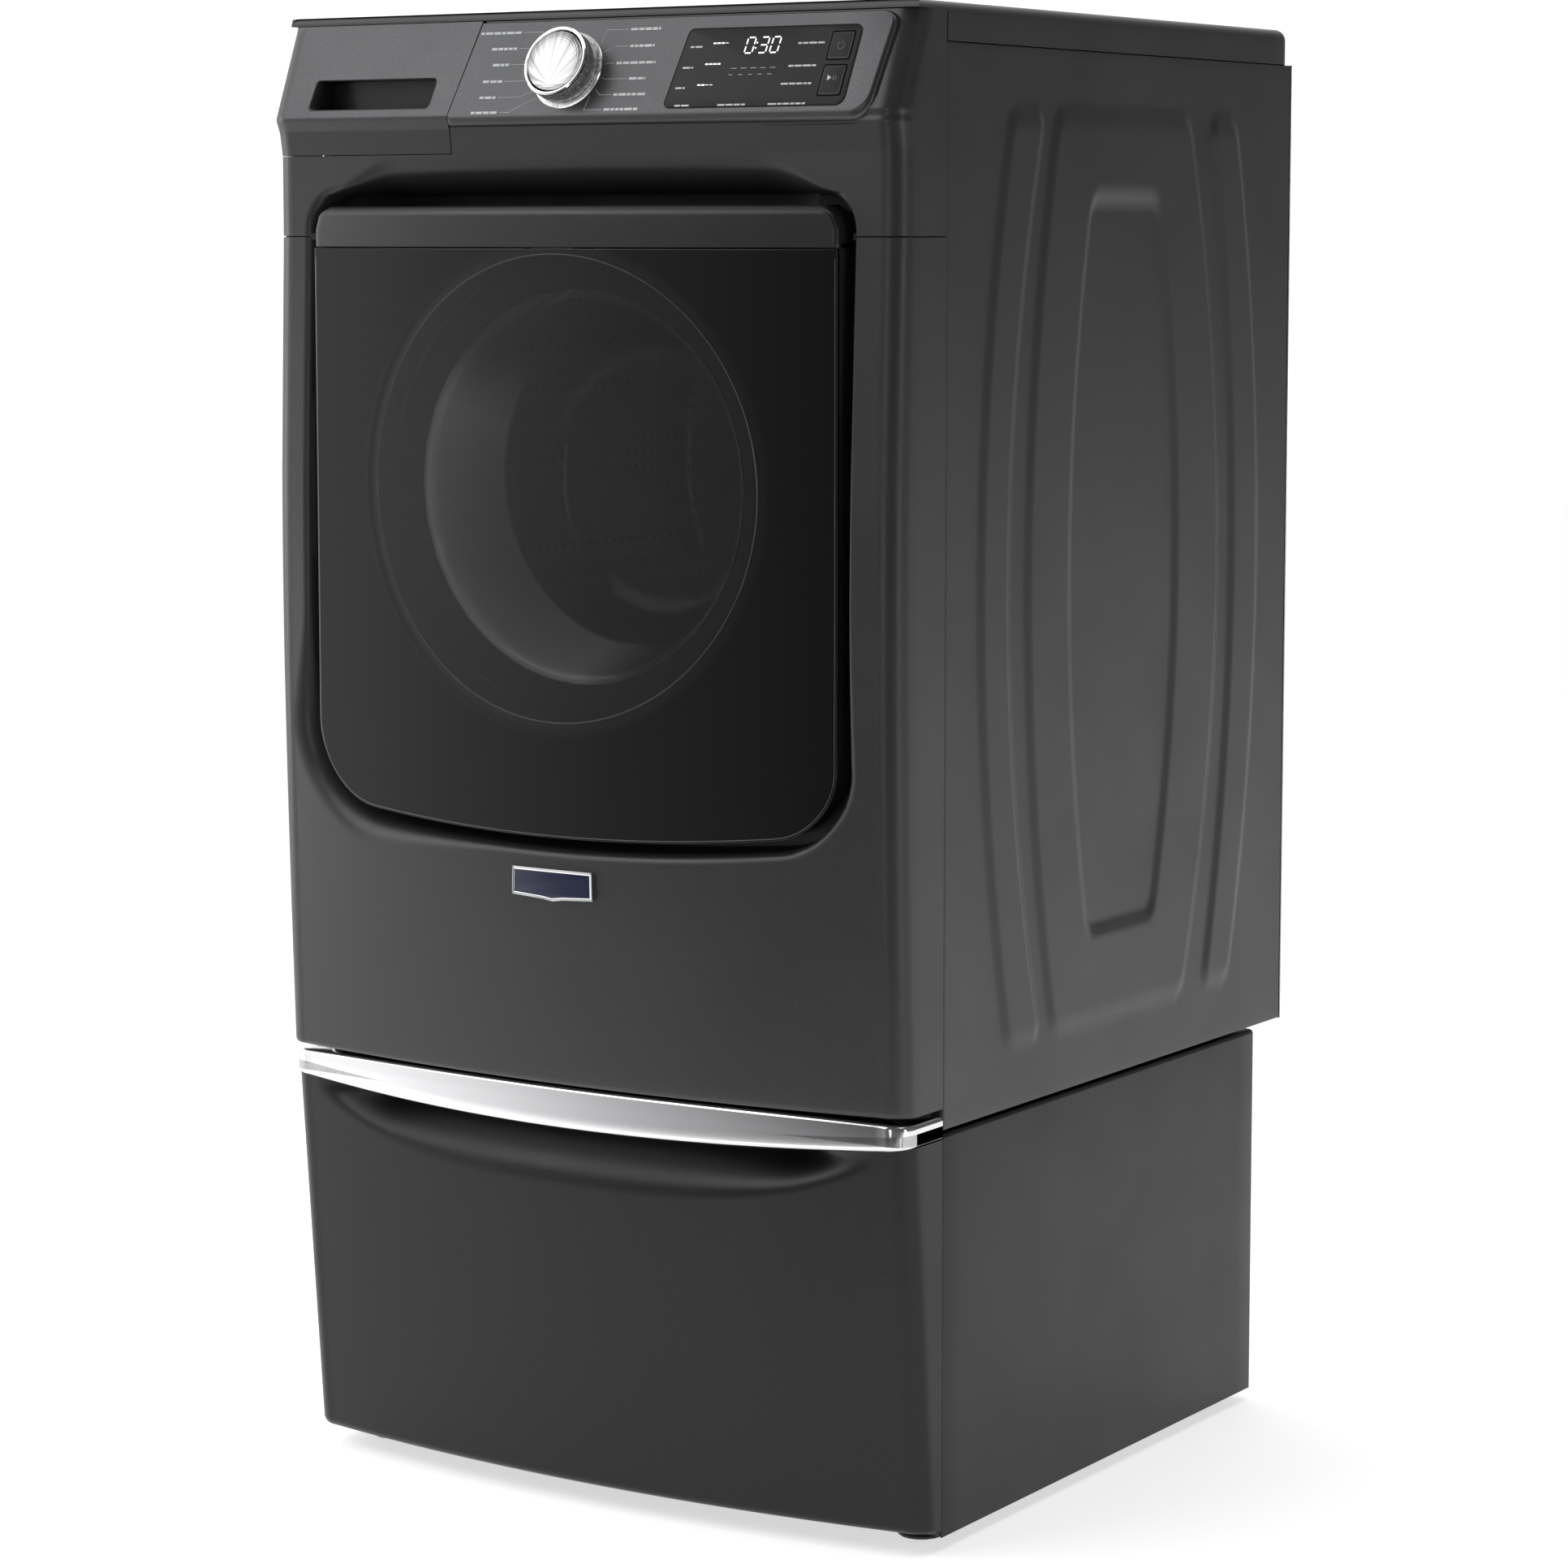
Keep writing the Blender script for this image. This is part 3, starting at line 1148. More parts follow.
def build_door_window():
    """The bowed glass with rounded edges, and the fine bright line inside its edge."""
    thickness = 0.0040
    outline = [(x, min(z, TRIM_Z - 0.0006)) for x, z in door_outline()]
    shares = [0.994, 0.985, 0.97, 0.945, 0.90] + [0.84 - 0.06 * k for k in range(14)]
    normals = outline_normals(outline)

    def rounded_edge(inset, drop):
        loop = []
        for (x, z), (nx, nz) in zip(outline, normals):
            px, pz = x - nx * inset, z - nz * inset
            loop.append((px, float(door_front(px)) + drop, pz))
        return loop

    def rings(drop):
        """The face as rings from its outline in to a middle point."""
        middle = 0.905
        loops = []
        for share in shares:
            ring = [(x * share, middle + (z - middle) * share) for x, z in outline]
            loops.append([(x, float(door_front(x)) + drop, z) for x, z in ring])
        return loops

    front = [rounded_edge(0.0010 * inset, 0.0010 * drop) for inset, drop in quarter(3)] + rings(0.0)
    back = [rounded_edge(0.0, thickness - 0.0006), rounded_edge(0.0004, thickness)] + rings(thickness)
    glass = loft(list(reversed(back)) + front)
    part(assembled("door_glass", (glass, SMOKED), smooth_angle=60), "door", "door_window", finish="dark_glass")

    edge = [(x - nx * 0.0022, float(door_front(x)) - 0.00005, z - nz * 0.0022)
            for (x, z), (nx, nz) in zip(outline, normals)]
    start = next(i for i, p in enumerate(edge) if p[0] > 0 and p[2] > TRIM_Z - 0.006)
    edge = edge[start:] + edge[:start]
    line = tube([p for p in edge if p[2] < TRIM_Z - 0.005], 0.00045, sides=6)
    part(new_object("door_glass_edge_line", line, EDGE_LINE), "door")


def build_door_trim():
    """The painted strip above the glass, with a dark lens-shaped hollow for the fingers on its top."""
    radius = 0.0090
    rows = [(TRIM_Z + 0.0004, 0.0070), (TRIM_Z + 0.0002, 0.0009), (TRIM_Z + 0.0008, 0.0)]
    rows += [(TRIM_Z + 0.004, 0.0), (TRIM_Z + 0.016, 0.0), (DOOR_TOP - radius, 0.0)]
    rows += [(DOOR_TOP - radius * drop, radius * inset) for inset, drop in quarter(8)[1:]]
    flats = [(DOOR_TOP, radius + 0.006), (DOOR_TOP, 0.020), (DOOR_TOP - 0.0006, None)]
    shares = np.concatenate([
        -np.array([1.0, 0.9985, 0.996, 0.993, 0.989, 0.983]), np.linspace(-0.97, 0.97, 61),
        np.array([0.983, 0.989, 0.993, 0.996, 0.9985, 1.0]),
    ])
    corner = 0.022
    points = np.zeros((len(shares), len(rows) + len(flats), 3))
    for j, (z, drop) in enumerate(rows + flats):
        rise = max(0.0, z - (DOOR_TOP - corner))
        half = DOOR_HALF - corner + math.sqrt(max(0.0, corner**2 - min(rise, corner * 0.93) ** 2))
        for i, share in enumerate(shares):
            x = half * share
            side = max(0.0, 1 - half * (1 - abs(share)) / 0.0045)
            lip = 0.0045 * (1 - math.sqrt(max(0.0, 1 - side**2)))
            y = -0.352 if drop is None else float(door_front(x)) + drop + lip
            points[i, j] = (x, min(y, -0.352), z)
    ends = [points[:1].copy(), points[-1:].copy()]
    for end in ends:
        end[..., 1] = -0.352
    body = grid_mesh(np.concatenate([ends[0], points, ends[1]]))

    def lens_edge(bulge):
        places = [-1 + 2 * k / 40 for k in range(41)]
        return [
            (0.205 * s, float(door_front(0.205 * s)) + 0.0132 + bulge * (1 - s * s), DOOR_TOP + 0.0003)
            for s in places
        ]

    bm = bmesh.new()
    upper, lower = ([bm.verts.new(p) for p in lens_edge(bulge)] for bulge in (-0.0022, 0.0022))
    for k in range(40):
        bm.faces.new((upper[k], lower[k], lower[k + 1], upper[k + 1]))
    trim = assembled("door_top_trim", (body, TRIM_PAINT), (bm, SEAM), smooth_angle=50, orient=False)
    part(trim, "door", "door_trim", finish="graphite_paint")


def build_door_inside():
    """The smooth funnel behind the glass, the bowl, and the grey ring on the door's back."""
    steps = 128
    loops = []
    for radius, drop, y in (
        (0.2150, 0.0043, None), (0.2098, 0.0043, None), (0.2086, 0.0056, None), (0.2080, 0.0100, None),
        (0.2072, None, -0.3640), (0.2060, None, -0.3626), (0.1985, None, -0.3621), (0.1800, None, -0.3621),
        (0.1778, None, -0.3612), (0.1772, None, -0.3590),
    ):
        loop = []
        for k in range(steps):
            t = math.tau * k / steps
            x, z = radius * math.cos(t), AXIS_Z + radius * math.sin(t)
            loop.append((x, float(door_front(x)) + drop if y is None else y, z))
        loops.append(loop)
    funnel = loft(loops, closed_ends=False)
    rim = tube([(0.2086 * math.cos(t), float(door_front(0.2086 * math.cos(t))) + 0.0046,
                 AXIS_Z + 0.2086 * math.sin(t)) for t in (math.tau * k / steps for k in range(steps))],
               0.0009, closed=True)
    part(assembled("door_funnel", (funnel, FUNNEL), (rim, EDGE_LINE), smooth_angle=30), "door")

    outer = [
        (0.0, -0.2085), (0.060, -0.2088), (0.100, -0.2102), (0.118, -0.2135), (0.129, -0.2195), (0.1365, -0.2280),
        (0.1410, -0.2390), (0.1440, -0.2500), (0.1540, -0.2850), (0.1640, -0.3180), (0.1705, -0.3400),
        (0.1735, -0.3490), (0.1765, -0.3530), (0.1972, -0.3535),
    ]
    inner = [
        (0.1972, -0.3572), (0.1745, -0.3574), (0.1705, -0.3560), (0.1680, -0.3520), (0.1662, -0.3440),
        (0.1598, -0.3190), (0.1500, -0.2860), (0.1402, -0.2520), (0.1372, -0.2410), (0.1328, -0.2305),
        (0.1262, -0.2232), (0.1165, -0.2178), (0.0990, -0.2142), (0.060, -0.2128), (0.0, -0.2125),
    ]
    bowl = turned(outer + inner, (0.0, 0.0, AXIS_Z), (0, 1, 0), 144)
    glass = assembled("door_bowl_glass", (bowl, CLEAR), smooth_angle=60)
    part(glass, "door", "door_bowl", finish="clear_glass")

    ring = turned([
        (0.1788, -0.3531), (0.1970, -0.3531), (0.1976, -0.3522), (0.1976, -0.3498), (0.2238, -0.3498),
        (0.2250, -0.3490), (0.2246, -0.3474), (0.2225, -0.3465), (0.2120, -0.3465), (0.2112, -0.3472),
        (0.2060, -0.3472), (0.2052, -0.3465), (0.1800, -0.3465), (0.1786, -0.3474),
    ], (0.0, 0.0, AXIS_Z), (0, 1, 0), 128, closed=True)
    pieces = [(ring, GREY)]
    screw = [(0.0, 0.0016), (0.0026, 0.0014), (0.0036, 0.0006), (0.0038, -0.0004)]
    for k in range(8):
        angle = math.tau * (k + 0.5) / 8
        place = (0.2150 * math.cos(angle), -0.3466, AXIS_Z + 0.2150 * math.sin(angle))
        pieces.append((turned(screw, place, (0, 1, 0), 20), GALVANISED))
    part(assembled("door_back_ring", *pieces), "door", "door_inner_ring", finish="grey_plastic")


def stretched(obj, cad_node):
    """The piece rides on the cabinet before start and on the tub past end, and stands for one CAD node."""
    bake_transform(obj)
    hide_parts(cad_node)


def build_boot():
    """The rubber bellows, with two folds and a rounded lip."""
    profile = [
        (0.2142, -0.3422), (0.2080, -0.3424), (0.2035, -0.3408), (0.1990, -0.3330), (0.1960, -0.3268),
        (0.1915, -0.3262), (0.1895, -0.3310), (0.1880, -0.3352), (0.1840, -0.3362), (0.1812, -0.3330),
        (0.1815, -0.3240), (0.1860, -0.3120), (0.1905, -0.3020), (0.1950, -0.2960), (0.2010, -0.2930),
        (0.2060, -0.2905), (0.2075, -0.2875), (0.2110, -0.2875), (0.2120, -0.2935), (0.2060, -0.2985),
        (0.2000, -0.3010), (0.1960, -0.3060), (0.1930, -0.3140), (0.1905, -0.3210), (0.1960, -0.3222),
        (0.2010, -0.3250), (0.2050, -0.3330), (0.2090, -0.3380), (0.2142, -0.3392),
    ]
    bm = turned(profile, (0.0, 0.0, AXIS_Z), (0, 1, 0), 128, closed=True)
    boot = assembled("door_boot_bellows", (bm, RUBBER), smooth_angle=60)
    stretched(boot, "door_boot")


def build_damper(name):
    low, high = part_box(name)
    x, y, height = (low.x + high.x) / 2, (low.y + high.y) / 2, high.z - low.z
    profile = [
        (0.0, 0.0), (0.0182, 0.0), (0.0190, 0.0010), (0.0190, 0.0120), (0.0172, 0.0132), (0.0172, 0.1970),
        (0.0160, 0.1990), (0.0062, 0.1990), (0.0060, height - 0.0180), (0.0110, height - 0.0170),
        (0.0110, height - 0.0010), (0.0100, height), (0.0, height),
    ]
    damper = assembled(name + "_strut", (turned(profile, (x, y, low.z), (0, 0, 1), 48), BLACK))
    stretched(damper, name)


def build_spring(name):
    """A coil with a hook bent in at each end."""
    low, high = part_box(name)
    x, y = (low.x + high.x) / 2, (low.y + high.y) / 2
    wire, turns, steps, hook = 0.0024, 9, 20, 0.016
    bottom, top = low.z + hook, high.z - hook
    radius = (high.x - low.x) / 2 - wire - 0.0002
    path = [(x, y, low.z + wire), (x + radius * 0.5, y, bottom - 0.006)]
    for k in range(turns * steps + 1):
        angle = math.tau * k / steps
        rise = (top - bottom) * k / (turns * steps)
        path.append((x + radius * math.cos(angle), y + radius * math.sin(angle), bottom + rise))
    path += [(x + radius * 0.5, y, top + 0.006), (x, y, high.z - wire)]
    spring = assembled(name + "_coil", (tube(path, wire, sides=8), GALVANISED))
    stretched(spring, name)


def build_suspension():
    """The dampers and hanging springs, which stretch between the cabinet and the tub."""
    for side in ("left", "right"):
        build_damper("damper_" + side)
        build_spring("spring_" + side)


def build_drum():
    """The drum's sheet in section: a rolled mouth, a wall with a shallow waist, and the back."""
    front, back = BASKET_LOW.y, BASKET_HIGH.y
    outer = 0.2718
    profile = [
        (0.1925, front + 0.0100), (0.1905, front + 0.0060), (0.1905, front + 0.0020), (0.1935, front + 0.0002),
        (0.2000, front + 0.0006), (0.2560, front + 0.0010), (0.2660, front + 0.0030),
        (outer - 0.0010, front + 0.0090), (outer, front + 0.0160), (outer, -0.10), (outer - 0.0012, -0.094),
        (outer - 0.0012, 0.094), (outer, 0.10),
        (outer, back - 0.016), (0.2680, back - 0.0050), (0.2600, back - 0.0004), (0.0300, back - 0.0004),
        (0.0300, back - 0.0016), (0.2590, back - 0.0016), (0.2665, back - 0.0060), (outer - 0.0012, back - 0.017),
        (outer - 0.0012, 0.10), (outer - 0.0024, 0.094), (outer - 0.0024, -0.094), (outer - 0.0012, -0.10),
        (outer - 0.0012, front + 0.0160), (0.2650, front + 0.0050), (0.2560, front + 0.0024),
        (0.1960, front + 0.0022), (0.1940, front + 0.0060),
    ]
    bm = turned(profile, (0.0, 0.0, AXIS_Z), (0, 1, 0), 128, closed=True)
    part(assembled("perforated_drum", (bm, DRUM)), "drum", "drum_basket", finish="stainless")


def build_badge():
    """A plain plate in a bright frame, with no mark on it."""
    x0, x1, z0, z1 = BADGE_LOW.x, BADGE_HIGH.x, BADGE_LOW.z, BADGE_HIGH.z

    def place(x, z, out):
        return (x, BADGE_LOW.y - out + 0.030 * (x / HALF_WIDTH) ** 2, z)

    middle = (x0 + x1) / 2
    corners = [(x0, z0 + 0.0035), (middle - 0.010, z0 + 0.0015), (middle, z0), (middle + 0.010, z0 + 0.0015),
               (x1, z0 + 0.0035), (x1 - 0.0005, z1), (x0 + 0.0005, z1)]
    outline = resampled(rounded(corners, [0.001, 0.004, 0.003, 0.004, 0.001, 0.001, 0.001], 4), 0.004)
    normals = outline_normals(outline)

    def loop(inset, out):
        return [place(px - nx * inset, pz - nz * inset, out) for (px, pz), (nx, nz) in zip(outline, normals)]

    border = loft([loop(inset, out) for inset, out in (
        (0.0, -0.0040), (0.0, -0.0004), (0.0004, 0.0), (0.0020, 0.0), (0.0026, -0.0003), (0.0026, -0.0012),
    )])
    plate = loft([loop(inset, out) for inset, out in ((0.0026, -0.0014), (0.0026, -0.0007), (0.0030, -0.0006))])
    badge = assembled("badge_frame_and_plate", (border, CHROME), (plate, BLUE))
    part(badge, "cabinet", "badge_plate", finish="badge_plate")


# ---------------------------------------------------------------- cabinet sides
# Pressings in the side panels: front and back edges at mid height and at both ends, low and high end, and sign
PRESSINGS = (
    (-0.2361, -0.1877, -0.1850, -0.1265, 0.4400, 1.2700, 1.0),
    (-0.1528, 0.2150, -0.1025, 0.1500, 0.4400, 1.2720, 1.0),
    (0.2442, 0.2982, 0.1945, 0.2455, 0.4400, 1.2710, 1.0),
    (-0.0771, 0.1279, -0.0390, 0.0870, 0.5230, 1.1980, -1.0),
)
PRESS_DEPTH = 0.0030


def pressed_relief(y, z):
    """How far the pressings stand out of the side panel."""
    total = np.zeros_like(y)
    for mid0, mid1, end0, end1, low, high, sign in PRESSINGS:
        share = (z - (low + high) / 2) / ((high - low) / 2)
        bend = np.clip(share**2, 0.0, 1.4)
        front, back = mid0 + (end0 - mid0) * bend, mid1 + (end1 - mid1) * bend
        middle_y, middle_z = (front + back) / 2, (low + high) / 2
        away = box_distance(y - middle_y, z - middle_z, (back - front) / 2, (high - low) / 2, 0.014)
        total = total + sign * PRESS_DEPTH * smooth(0.0045, -0.0045, away)
    return total


def build_side_panels():
    """The pressed side sheets, with rolled edges turned in all round."""
    y_low, y_high, z_low, z_high = SIDE_LOW.y + 0.0003, SIDE_HIGH.y, SIDE_LOW.z, SIDE_HIGH.z
    ys = lines(
        (y_low, y_low + 0.002, 0.0005), (y_low + 0.002, y_high - 0.003, 0.0034), (y_high - 0.003, y_high, 0.0006)
    )
    zs = lines(
        (z_low, z_low + 0.002, 0.0005), (z_low + 0.002, z_high - 0.002, 0.0072), (z_high - 0.002, z_high, 0.0005)
    )
    y, z = np.meshgrid(ys, zs, indexing="ij")
    edge = np.minimum(np.minimum(y - y_low, y_high - y), np.minimum(z - z_low, z_high - z))
    out = pressed_relief(y, z) - 0.0020 * rolled(1 - edge / 0.0020)
    for side, name in ((1, "side_panel_right"), (-1, "side_panel_left")):
        x = side * (HALF_WIDTH - 0.0002 + out)
        points = np.stack([x, y, z], axis=-1)

        def inwards(row):
            row = row.copy()
            row[..., 0] -= side * 0.010
            return row

        points = np.concatenate([inwards(points[:1]), points, inwards(points[-1:])])
        points = np.concatenate([inwards(points[:, :1]), points, inwards(points[:, -1:])], axis=1)
        obj = finish_object("pressed_" + name, grid_mesh(points, flip=side < 0), GRAPHITE, 50)
        part(obj, "cabinet", name, finish="graphite_paint")


def build_top_panel():
    """The lid: rounded edges all round, and a slope in front that carries on the console's."""
    front, rear, low, high = TOP_LOW.y, TOP_HIGH.y, TOP_LOW.z, TOP_HIGH.z
    radius = 0.011
    corners = [(-HALF_WIDTH, front), (HALF_WIDTH, front), (HALF_WIDTH, rear), (-HALF_WIDTH, rear)]
    base = resampled(rounded(corners, [0.001, 0.001, 0.020, 0.020], 8), 0.02)
    skirt = SIDE_FRONT + 0.0016

    def dropped(x, y, z):
        limit = np.interp(z, [low, 1.3550, 1.3566, high], [skirt, skirt, front + 0.0004, front])
        return (x, max(y, float(limit)), z)

    loops = [[dropped(x * 0.985, y, low) for x, y in base]]
    loops += [[dropped(x, y, z) for x, y in base] for z in (low, low + 0.0010, (low + high - radius) / 2)]
    normals = outline_normals(base)
    for inset, drop in quarter(9):
        loop = []
        for (x, y), (nx, ny) in zip(base, normals):
            forward = ny * (0.35 if ny < -0.5 else 1.0)
            loop.append(dropped(x - nx * inset * radius, y - forward * inset * radius, high - drop * radius))
        loops.append(loop)
    lid = assembled("lid", (loft(loops), GRAPHITE), smooth_angle=50)
    part(lid, "cabinet", "top_panel", finish="graphite_paint")


# ---------------------------------------------------------------- pedestal
def build_pedestal_case():
    """The pedestal's open-fronted shell, and the lining that shows behind its drawer."""
    low, high = CASE_LOW, CASE_HIGH
    front, rear = SIDE_FRONT + 0.0004, high.y
    radius = 0.0045

    def ring_at(z, inset):
        half = HALF_WIDTH - inset
        corners = [(-half, front), (half, front), (half, rear - inset), (-half, rear - inset)]
        return [(x, y, z) for x, y in resampled(rounded(corners, [0.0012, 0.0012, 0.006, 0.006], 5), 0.03)]

    loops = [ring_at(low.z + radius * drop, radius * drop * 0.4) for _, drop in quarter(5)]
    loops += [ring_at(low.z + (high.z - low.z) * share, 0.0) for share in (0.25, 0.5, 0.75)]
    loops += [ring_at(high.z - radius * drop, radius * inset * 0.6) for inset, drop in quarter(5)]
    shell = loft(loops)
    for face in list(shell.faces):
        if abs(face.calc_center_median().y - front) < 1e-4:
            shell.faces.remove(face)
    obj = assembled("pedestal_shell", (shell, PEDESTAL), smooth_angle=40)
    part(obj, "cabinet", "pedestal_case", finish="graphite_paint")

    def rectangle(x_in, z_low, z_high, y):
        half = HALF_WIDTH - x_in
        return [(x, y, z) for x, z in ((-half, z_low), (half, z_low), (half, z_high), (-half, z_high))]

    inside = (0.004, low.z + 0.004, high.z - 0.003)
    walls = loft([rectangle(*inside, y) for y in (front + 0.001, rear - 0.004)], closed_ends=False)
    back = box_mesh(rectangle(*inside, rear - 0.006)[0], rectangle(*inside, rear - 0.005)[2])
    outside = (0.0006, low.z + 0.001, high.z - 0.001)
    lip = loft([rectangle(*inside, front + 0.0006), rectangle(*outside, front + 0.0006)], closed_ends=False)
    part(assembled("pedestal_lining", (walls, GRAPHITE), (back, GRAPHITE), (lip, GRAPHITE)), "cabinet")


def drawer_at(z, column):
    """The drawer front's depth (column 1) or bow (column 2) at a height."""
    return np.interp(z, [row[0] for row in DRAWER_PROFILE], [row[column] for row in DRAWER_PROFILE])


def build_drawer_front():
    """The pedestal drawer's front, with a soft finger scoop below the bright bar."""
    low, high = DRAWER_LOW.z, DRAWER_HIGH.z
    across = lines(
        (-(ARC_END + FLANK_UNIT), -ARC_END, 0.0125), (-ARC_END, -FLAT, 0.0035), (-FLAT, -0.20, 0.004),
        (-0.20, 0.20, 0.008), (0.20, FLAT, 0.004), (FLAT, ARC_END, 0.0035),
        (ARC_END, ARC_END + FLANK_UNIT, 0.0125),
    )
    heights = lines(
        (low, low + 0.012, 0.0012), (low + 0.012, 0.250, 0.011), (0.250, high - 0.002, 0.0026),
        (high - 0.002, high, 0.0005),
    )
    a, z = np.meshgrid(across, heights, indexing="ij")
    x, y = plan_points(a, drawer_at(z, 1) - 0.010 * rolled((low + 0.010 - z) / 0.010), drawer_at(z, 2))
    scoop_low = 0.3030 + 0.046 * np.clip(np.abs(x) / 0.300, 0.0, 1.0) ** 3
    share = np.clip((z - scoop_low) / (SCOOP_TOP - scoop_low + 1e-9), 0.0, 1.0)
    ends = 1 - smooth(0.215, 0.312, np.abs(x))
    y = y + SCOOP_DEPTH * ends * smooth(0.0, 1.0, share) ** 1.25 * (np.abs(a) < FLAT)
    points = np.stack([x, y, z], axis=-1)
    points = hemmed(hemmed(points, "low", 0.020), "high", 0.012)
    obj = finish_object("drawer_pressed_front", grid_mesh(points), PEDESTAL, 50)
    part(obj, "pedestal_drawer", "pedestal_drawer_front", finish="graphite_paint")


def build_handle_bar():
    """The bright bar: a smooth bowed face with rounded edges that turns back along both flanks."""
    low, high = BAR_LOW.z, BAR_HIGH.z
    across = lines(
        (-(ARC_END + FLANK_UNIT), -ARC_END, 0.0125), (-ARC_END, -FLAT, 0.0023), (-FLAT, FLAT, 0.0080),
        (FLAT, ARC_END, 0.0023), (ARC_END, ARC_END + FLANK_UNIT, 0.0125),
    )
    radius = 0.0055
    section = [(low + 0.0006, 0.022), (low + 0.0002, 0.012)]
    section += [(low + radius * inset, radius * drop) for inset, drop in quarter(8)]
    section += [(low + radius + (high - low - 2 * radius) * share, 0.0) for share in (0.3, 0.5, 0.7)]
    section += [(high - radius * inset, radius * drop) for inset, drop in reversed(quarter(8))]
    section += [(high - 0.0002, 0.012), (high - 0.0006, 0.022)]
    middle = (low + high) / 2
    loops = np.zeros((len(across), len(section), 3))
    x, y = bar_plan(across)
    nx, ny = plan_normals(across)
    reach = (np.abs(x) / HALF_WIDTH) ** 2
    for j, (z, drop) in enumerate(section):
        squeezed = z + (BAR_END_RISE * reach if z < middle else -BAR_END_DROP * reach**2)
        loops[:, j] = np.stack([x - nx * drop, np.minimum(y - ny * drop, SIDE_FRONT), squeezed], axis=-1)
    bar = assembled("bright_bar", (grid_mesh(loops), CHROME), smooth_angle=60, orient=False)
    part(bar, "pedestal_drawer", "pedestal_handle_trim", finish="chrome")


def bar_plan(across):
    return plan_points(across, np.full_like(across, BAR_DEPTH), np.full_like(across, BAR_BOW))


def plan_normals(across):
    """Outward directions of the bar's face in plan."""
    tx, ty = (np.gradient(values) for values in bar_plan(across))
    size = np.hypot(tx, ty) + 1e-12
    return ty / size, -tx / size


# ---------------------------------------------------------------- what stays from the CAD
FEET = ("foot_front_left", "foot_front_right", "foot_rear_left", "foot_rear_right")
KEPT = (
    (GALVANISED, (
        "rear_panel", "base_frame", "hinge_bracket", "door_hinge_leaf", "door_latch_hook", "drum_shaft",
        "bearing_front", "bearing_rear", "drum_spider", "drum_pulley", "motor_pulley",
    )),
    (BLACK, (
        "door_frame", "door_lock", "control_unit", "cord_gland", "shaft_seal", "inlet_valve", "drain_pump", *FEET,
    )),
    (PALE, ("tub_front", "tub_rear", "dispenser_housing")),
    (GREY, ("dispenser_tray",)),
    (CONCRETE, ("counterweight_top", "counterweight_front")),
    (ALUMINIUM, ("motor",)),
    (BELT, ("drive_belt",)),
    (STAINLESS, ("drum_baffle_1", "drum_baffle_2", "drum_baffle_3")),
    (GRAPHITE, ("pedestal_drawer_box",)),
)
SOFTENED = {*FEET, "motor", "counterweight_top", "dispenser_tray", "door_hinge_leaf", "hinge_bracket"}


def finish_kept_nodes():
    """Gives every CAD solid that stays its procedural finish, and softens the edges of some."""
    for finish, names in KEPT:
        for name in names:
            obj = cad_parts[name]
            for place in obj.material_slots:
                place.material = finish
            if not obj.material_slots:
                obj.data.materials.append(finish)
            if name in SOFTENED:
                obj.modifiers.new("weld", "WELD").merge_threshold = 0.00002
                bevel(obj, 0.0008, 2, 40)


def build_rear_details():
    """Screws round the rear panel."""
    places = [(x, z) for z in (0.45, 0.62, 0.80, 0.98, 1.16, 1.30) for x in (-0.326, 0.326)]
    places += [(x, z) for x in (-0.20, 0.0, 0.20) for z in (1.315, 0.395)]
    screw = [(0.0, 0.0022), (0.0024, 0.0020), (0.0042, 0.0008), (0.0046, -0.0006)]
    screws = [turned(screw, (x, SIDE_HIGH.y + 0.0016, z), (0, 1, 0), 20) for x, z in places]
    part(new_object("rear_screws", gather(screws), GALVANISED), "cabinet")


# ---------------------------------------------------------------- studio
def area_light(name, place, target, size, power):
    data = bpy.data.lights.new(name, "AREA")
    data.shape = "RECTANGLE"
    data.size, data.size_y = size
    data.energy = power
    obj = bpy.data.objects.new(name, data)
    obj.location = place
    obj.rotation_euler = (Vector(target) - Vector(place)).to_track_quat("-Z", "Y").to_euler()
    bpy.context.scene.collection.objects.link(obj)


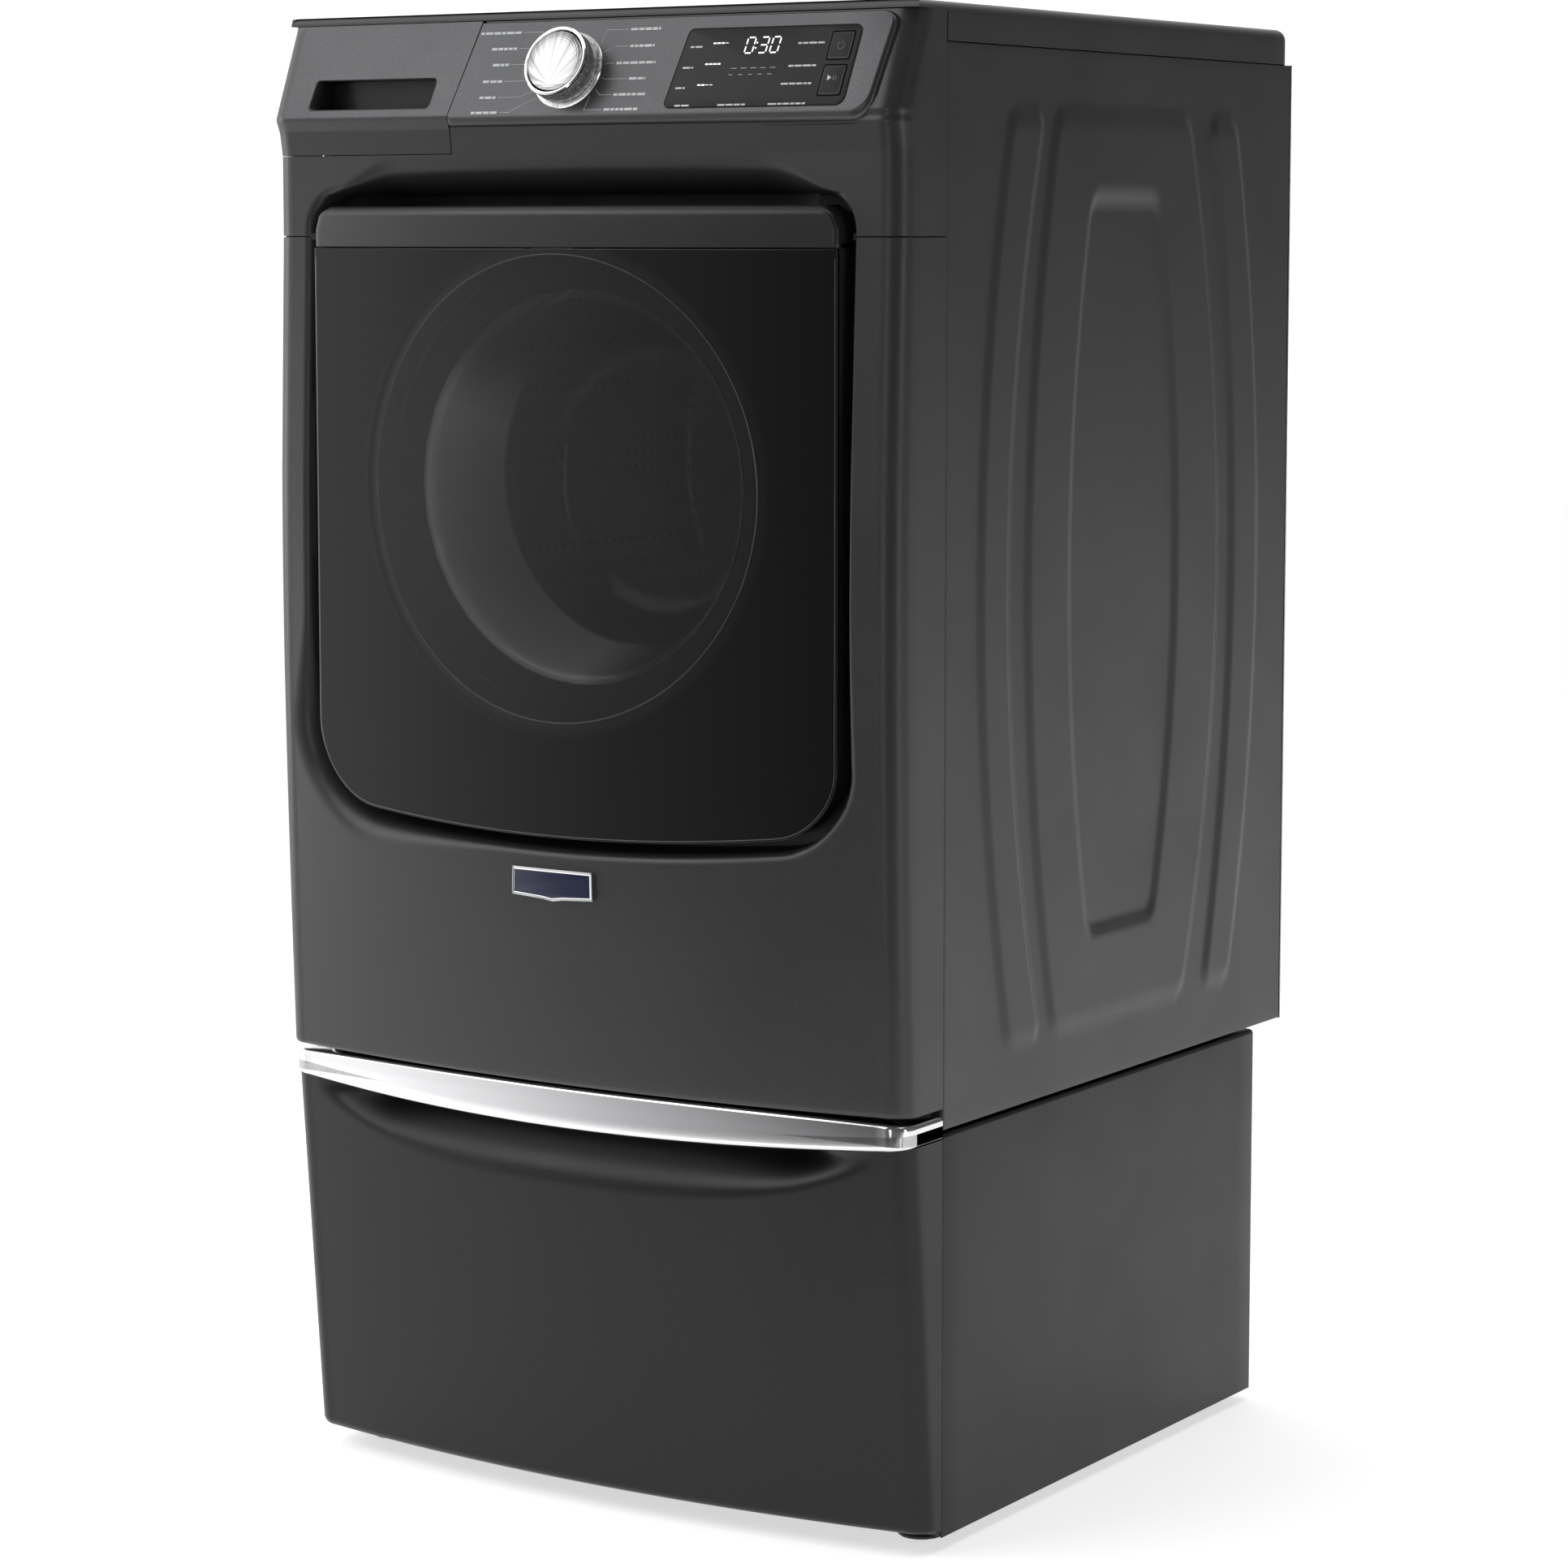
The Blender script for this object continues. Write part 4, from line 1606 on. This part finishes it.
def build_studio():
    """A pale floor, soft lights, and a world that is brightest to the left and dim to the right."""
    ground = bmesh.new()
    near, far, side = -1.5, 14.0, 12.0
    corners = ((-side, near, 0), (side, near, 0), (side, far, 0), (-side, far, 0))
    ground.faces.new([ground.verts.new(p) for p in corners])
    bmesh.ops.subdivide_edges(ground, edges=ground.edges, cuts=7, use_grid_fill=True)
    floor = material(
        "studio_floor", (0.82, 0.82, 0.82), 0.8, Specular_IOR_Level=0.1,
        Emission_Color=(1.0, 1.0, 1.0, 1.0), Emission_Strength=0.62,
    )
    tint = object_noise(floor, 0.6, 2.0)
    drive(floor, Base_Color=ramp_colour(floor, tint, (0.81, 0.81, 0.81), (0.83, 0.83, 0.83)))
    obj = finish_object("studio_ground", ground, floor)
    obj.location = (0.0, 0.0, -0.0004)

    world = bpy.data.worlds.new("studio")
    bpy.context.scene.world = world
    world.use_nodes = True
    background = world.node_tree.nodes["Background"]
    background.inputs["Strength"].default_value = 1.15
    where = node(world, "ShaderNodeTexCoord").outputs["Generated"]
    along = node(world, "ShaderNodeVectorMath", where, (-1.0, 0.3, 0.0), operation="DOT_PRODUCT")
    reach = ranged(world, along.outputs["Value"], 0.0, 1.0, -0.10, 0.62)
    shade = ramp_colour(world, reach, (0.085, 0.085, 0.087), (1.0, 1.0, 1.0), 0.0, 1.0, (0.45, 0.45, 0.455))
    world.node_tree.links.new(shade, background.inputs["Color"])

    area_light("left_strip", (-3.4, -1.2, 1.3), (0.0, 0.0, 0.8), (0.9, 2.4), 26)
    area_light("console_soft", (-1.8, -2.7, 3.1), (0.0, -0.37, 1.3), (2.6, 2.0), 36)
    area_light("top_soft", (0.5, 0.2, 3.8), (0.0, 0.0, 0.9), (3.0, 2.6), 46)
    area_light("right_strip", (3.6, -0.95, 1.0), (0.33, -0.36, 0.8), (0.34, 2.4), 10)
    area_light("front_strip", (0.90, -4.4, 1.0), (0.32, -0.38, 0.8), (0.40, 2.4), 12)
    area_light("right_soft", (3.4, 1.2, 2.0), (0.3, 0.0, 0.8), (1.6, 2.6), 0.5)
    bpy.context.scene.view_settings.view_transform = "Standard"


def build_camera():
    data = bpy.data.cameras.new("photo_view")
    data.sensor_width = 36.0
    data.lens = 99.09
    data.shift_y = -0.05
    data.clip_start, data.clip_end = 0.1, 60.0
    camera = bpy.data.objects.new("photo_view", data)
    camera.location = (2.2590, -3.5046, 1.1662)
    camera.rotation_euler = (math.radians(90 - 6.2524), 0.0, math.radians(32.98))
    bpy.context.scene.collection.objects.link(camera)
    bpy.context.scene.camera = camera


build_front_panel()
build_fascia()
build_console_face()
build_cycle_marks()
build_overlay()
build_keys()
build_knob()
build_dispenser_front()
build_door_window()
build_door_trim()
build_door_inside()
build_boot()
build_suspension()
build_drum()
build_badge()
build_side_panels()
build_top_panel()
build_pedestal_case()
build_drawer_front()
build_handle_bar()
build_rear_details()
finish_kept_nodes()
build_studio()
build_camera()
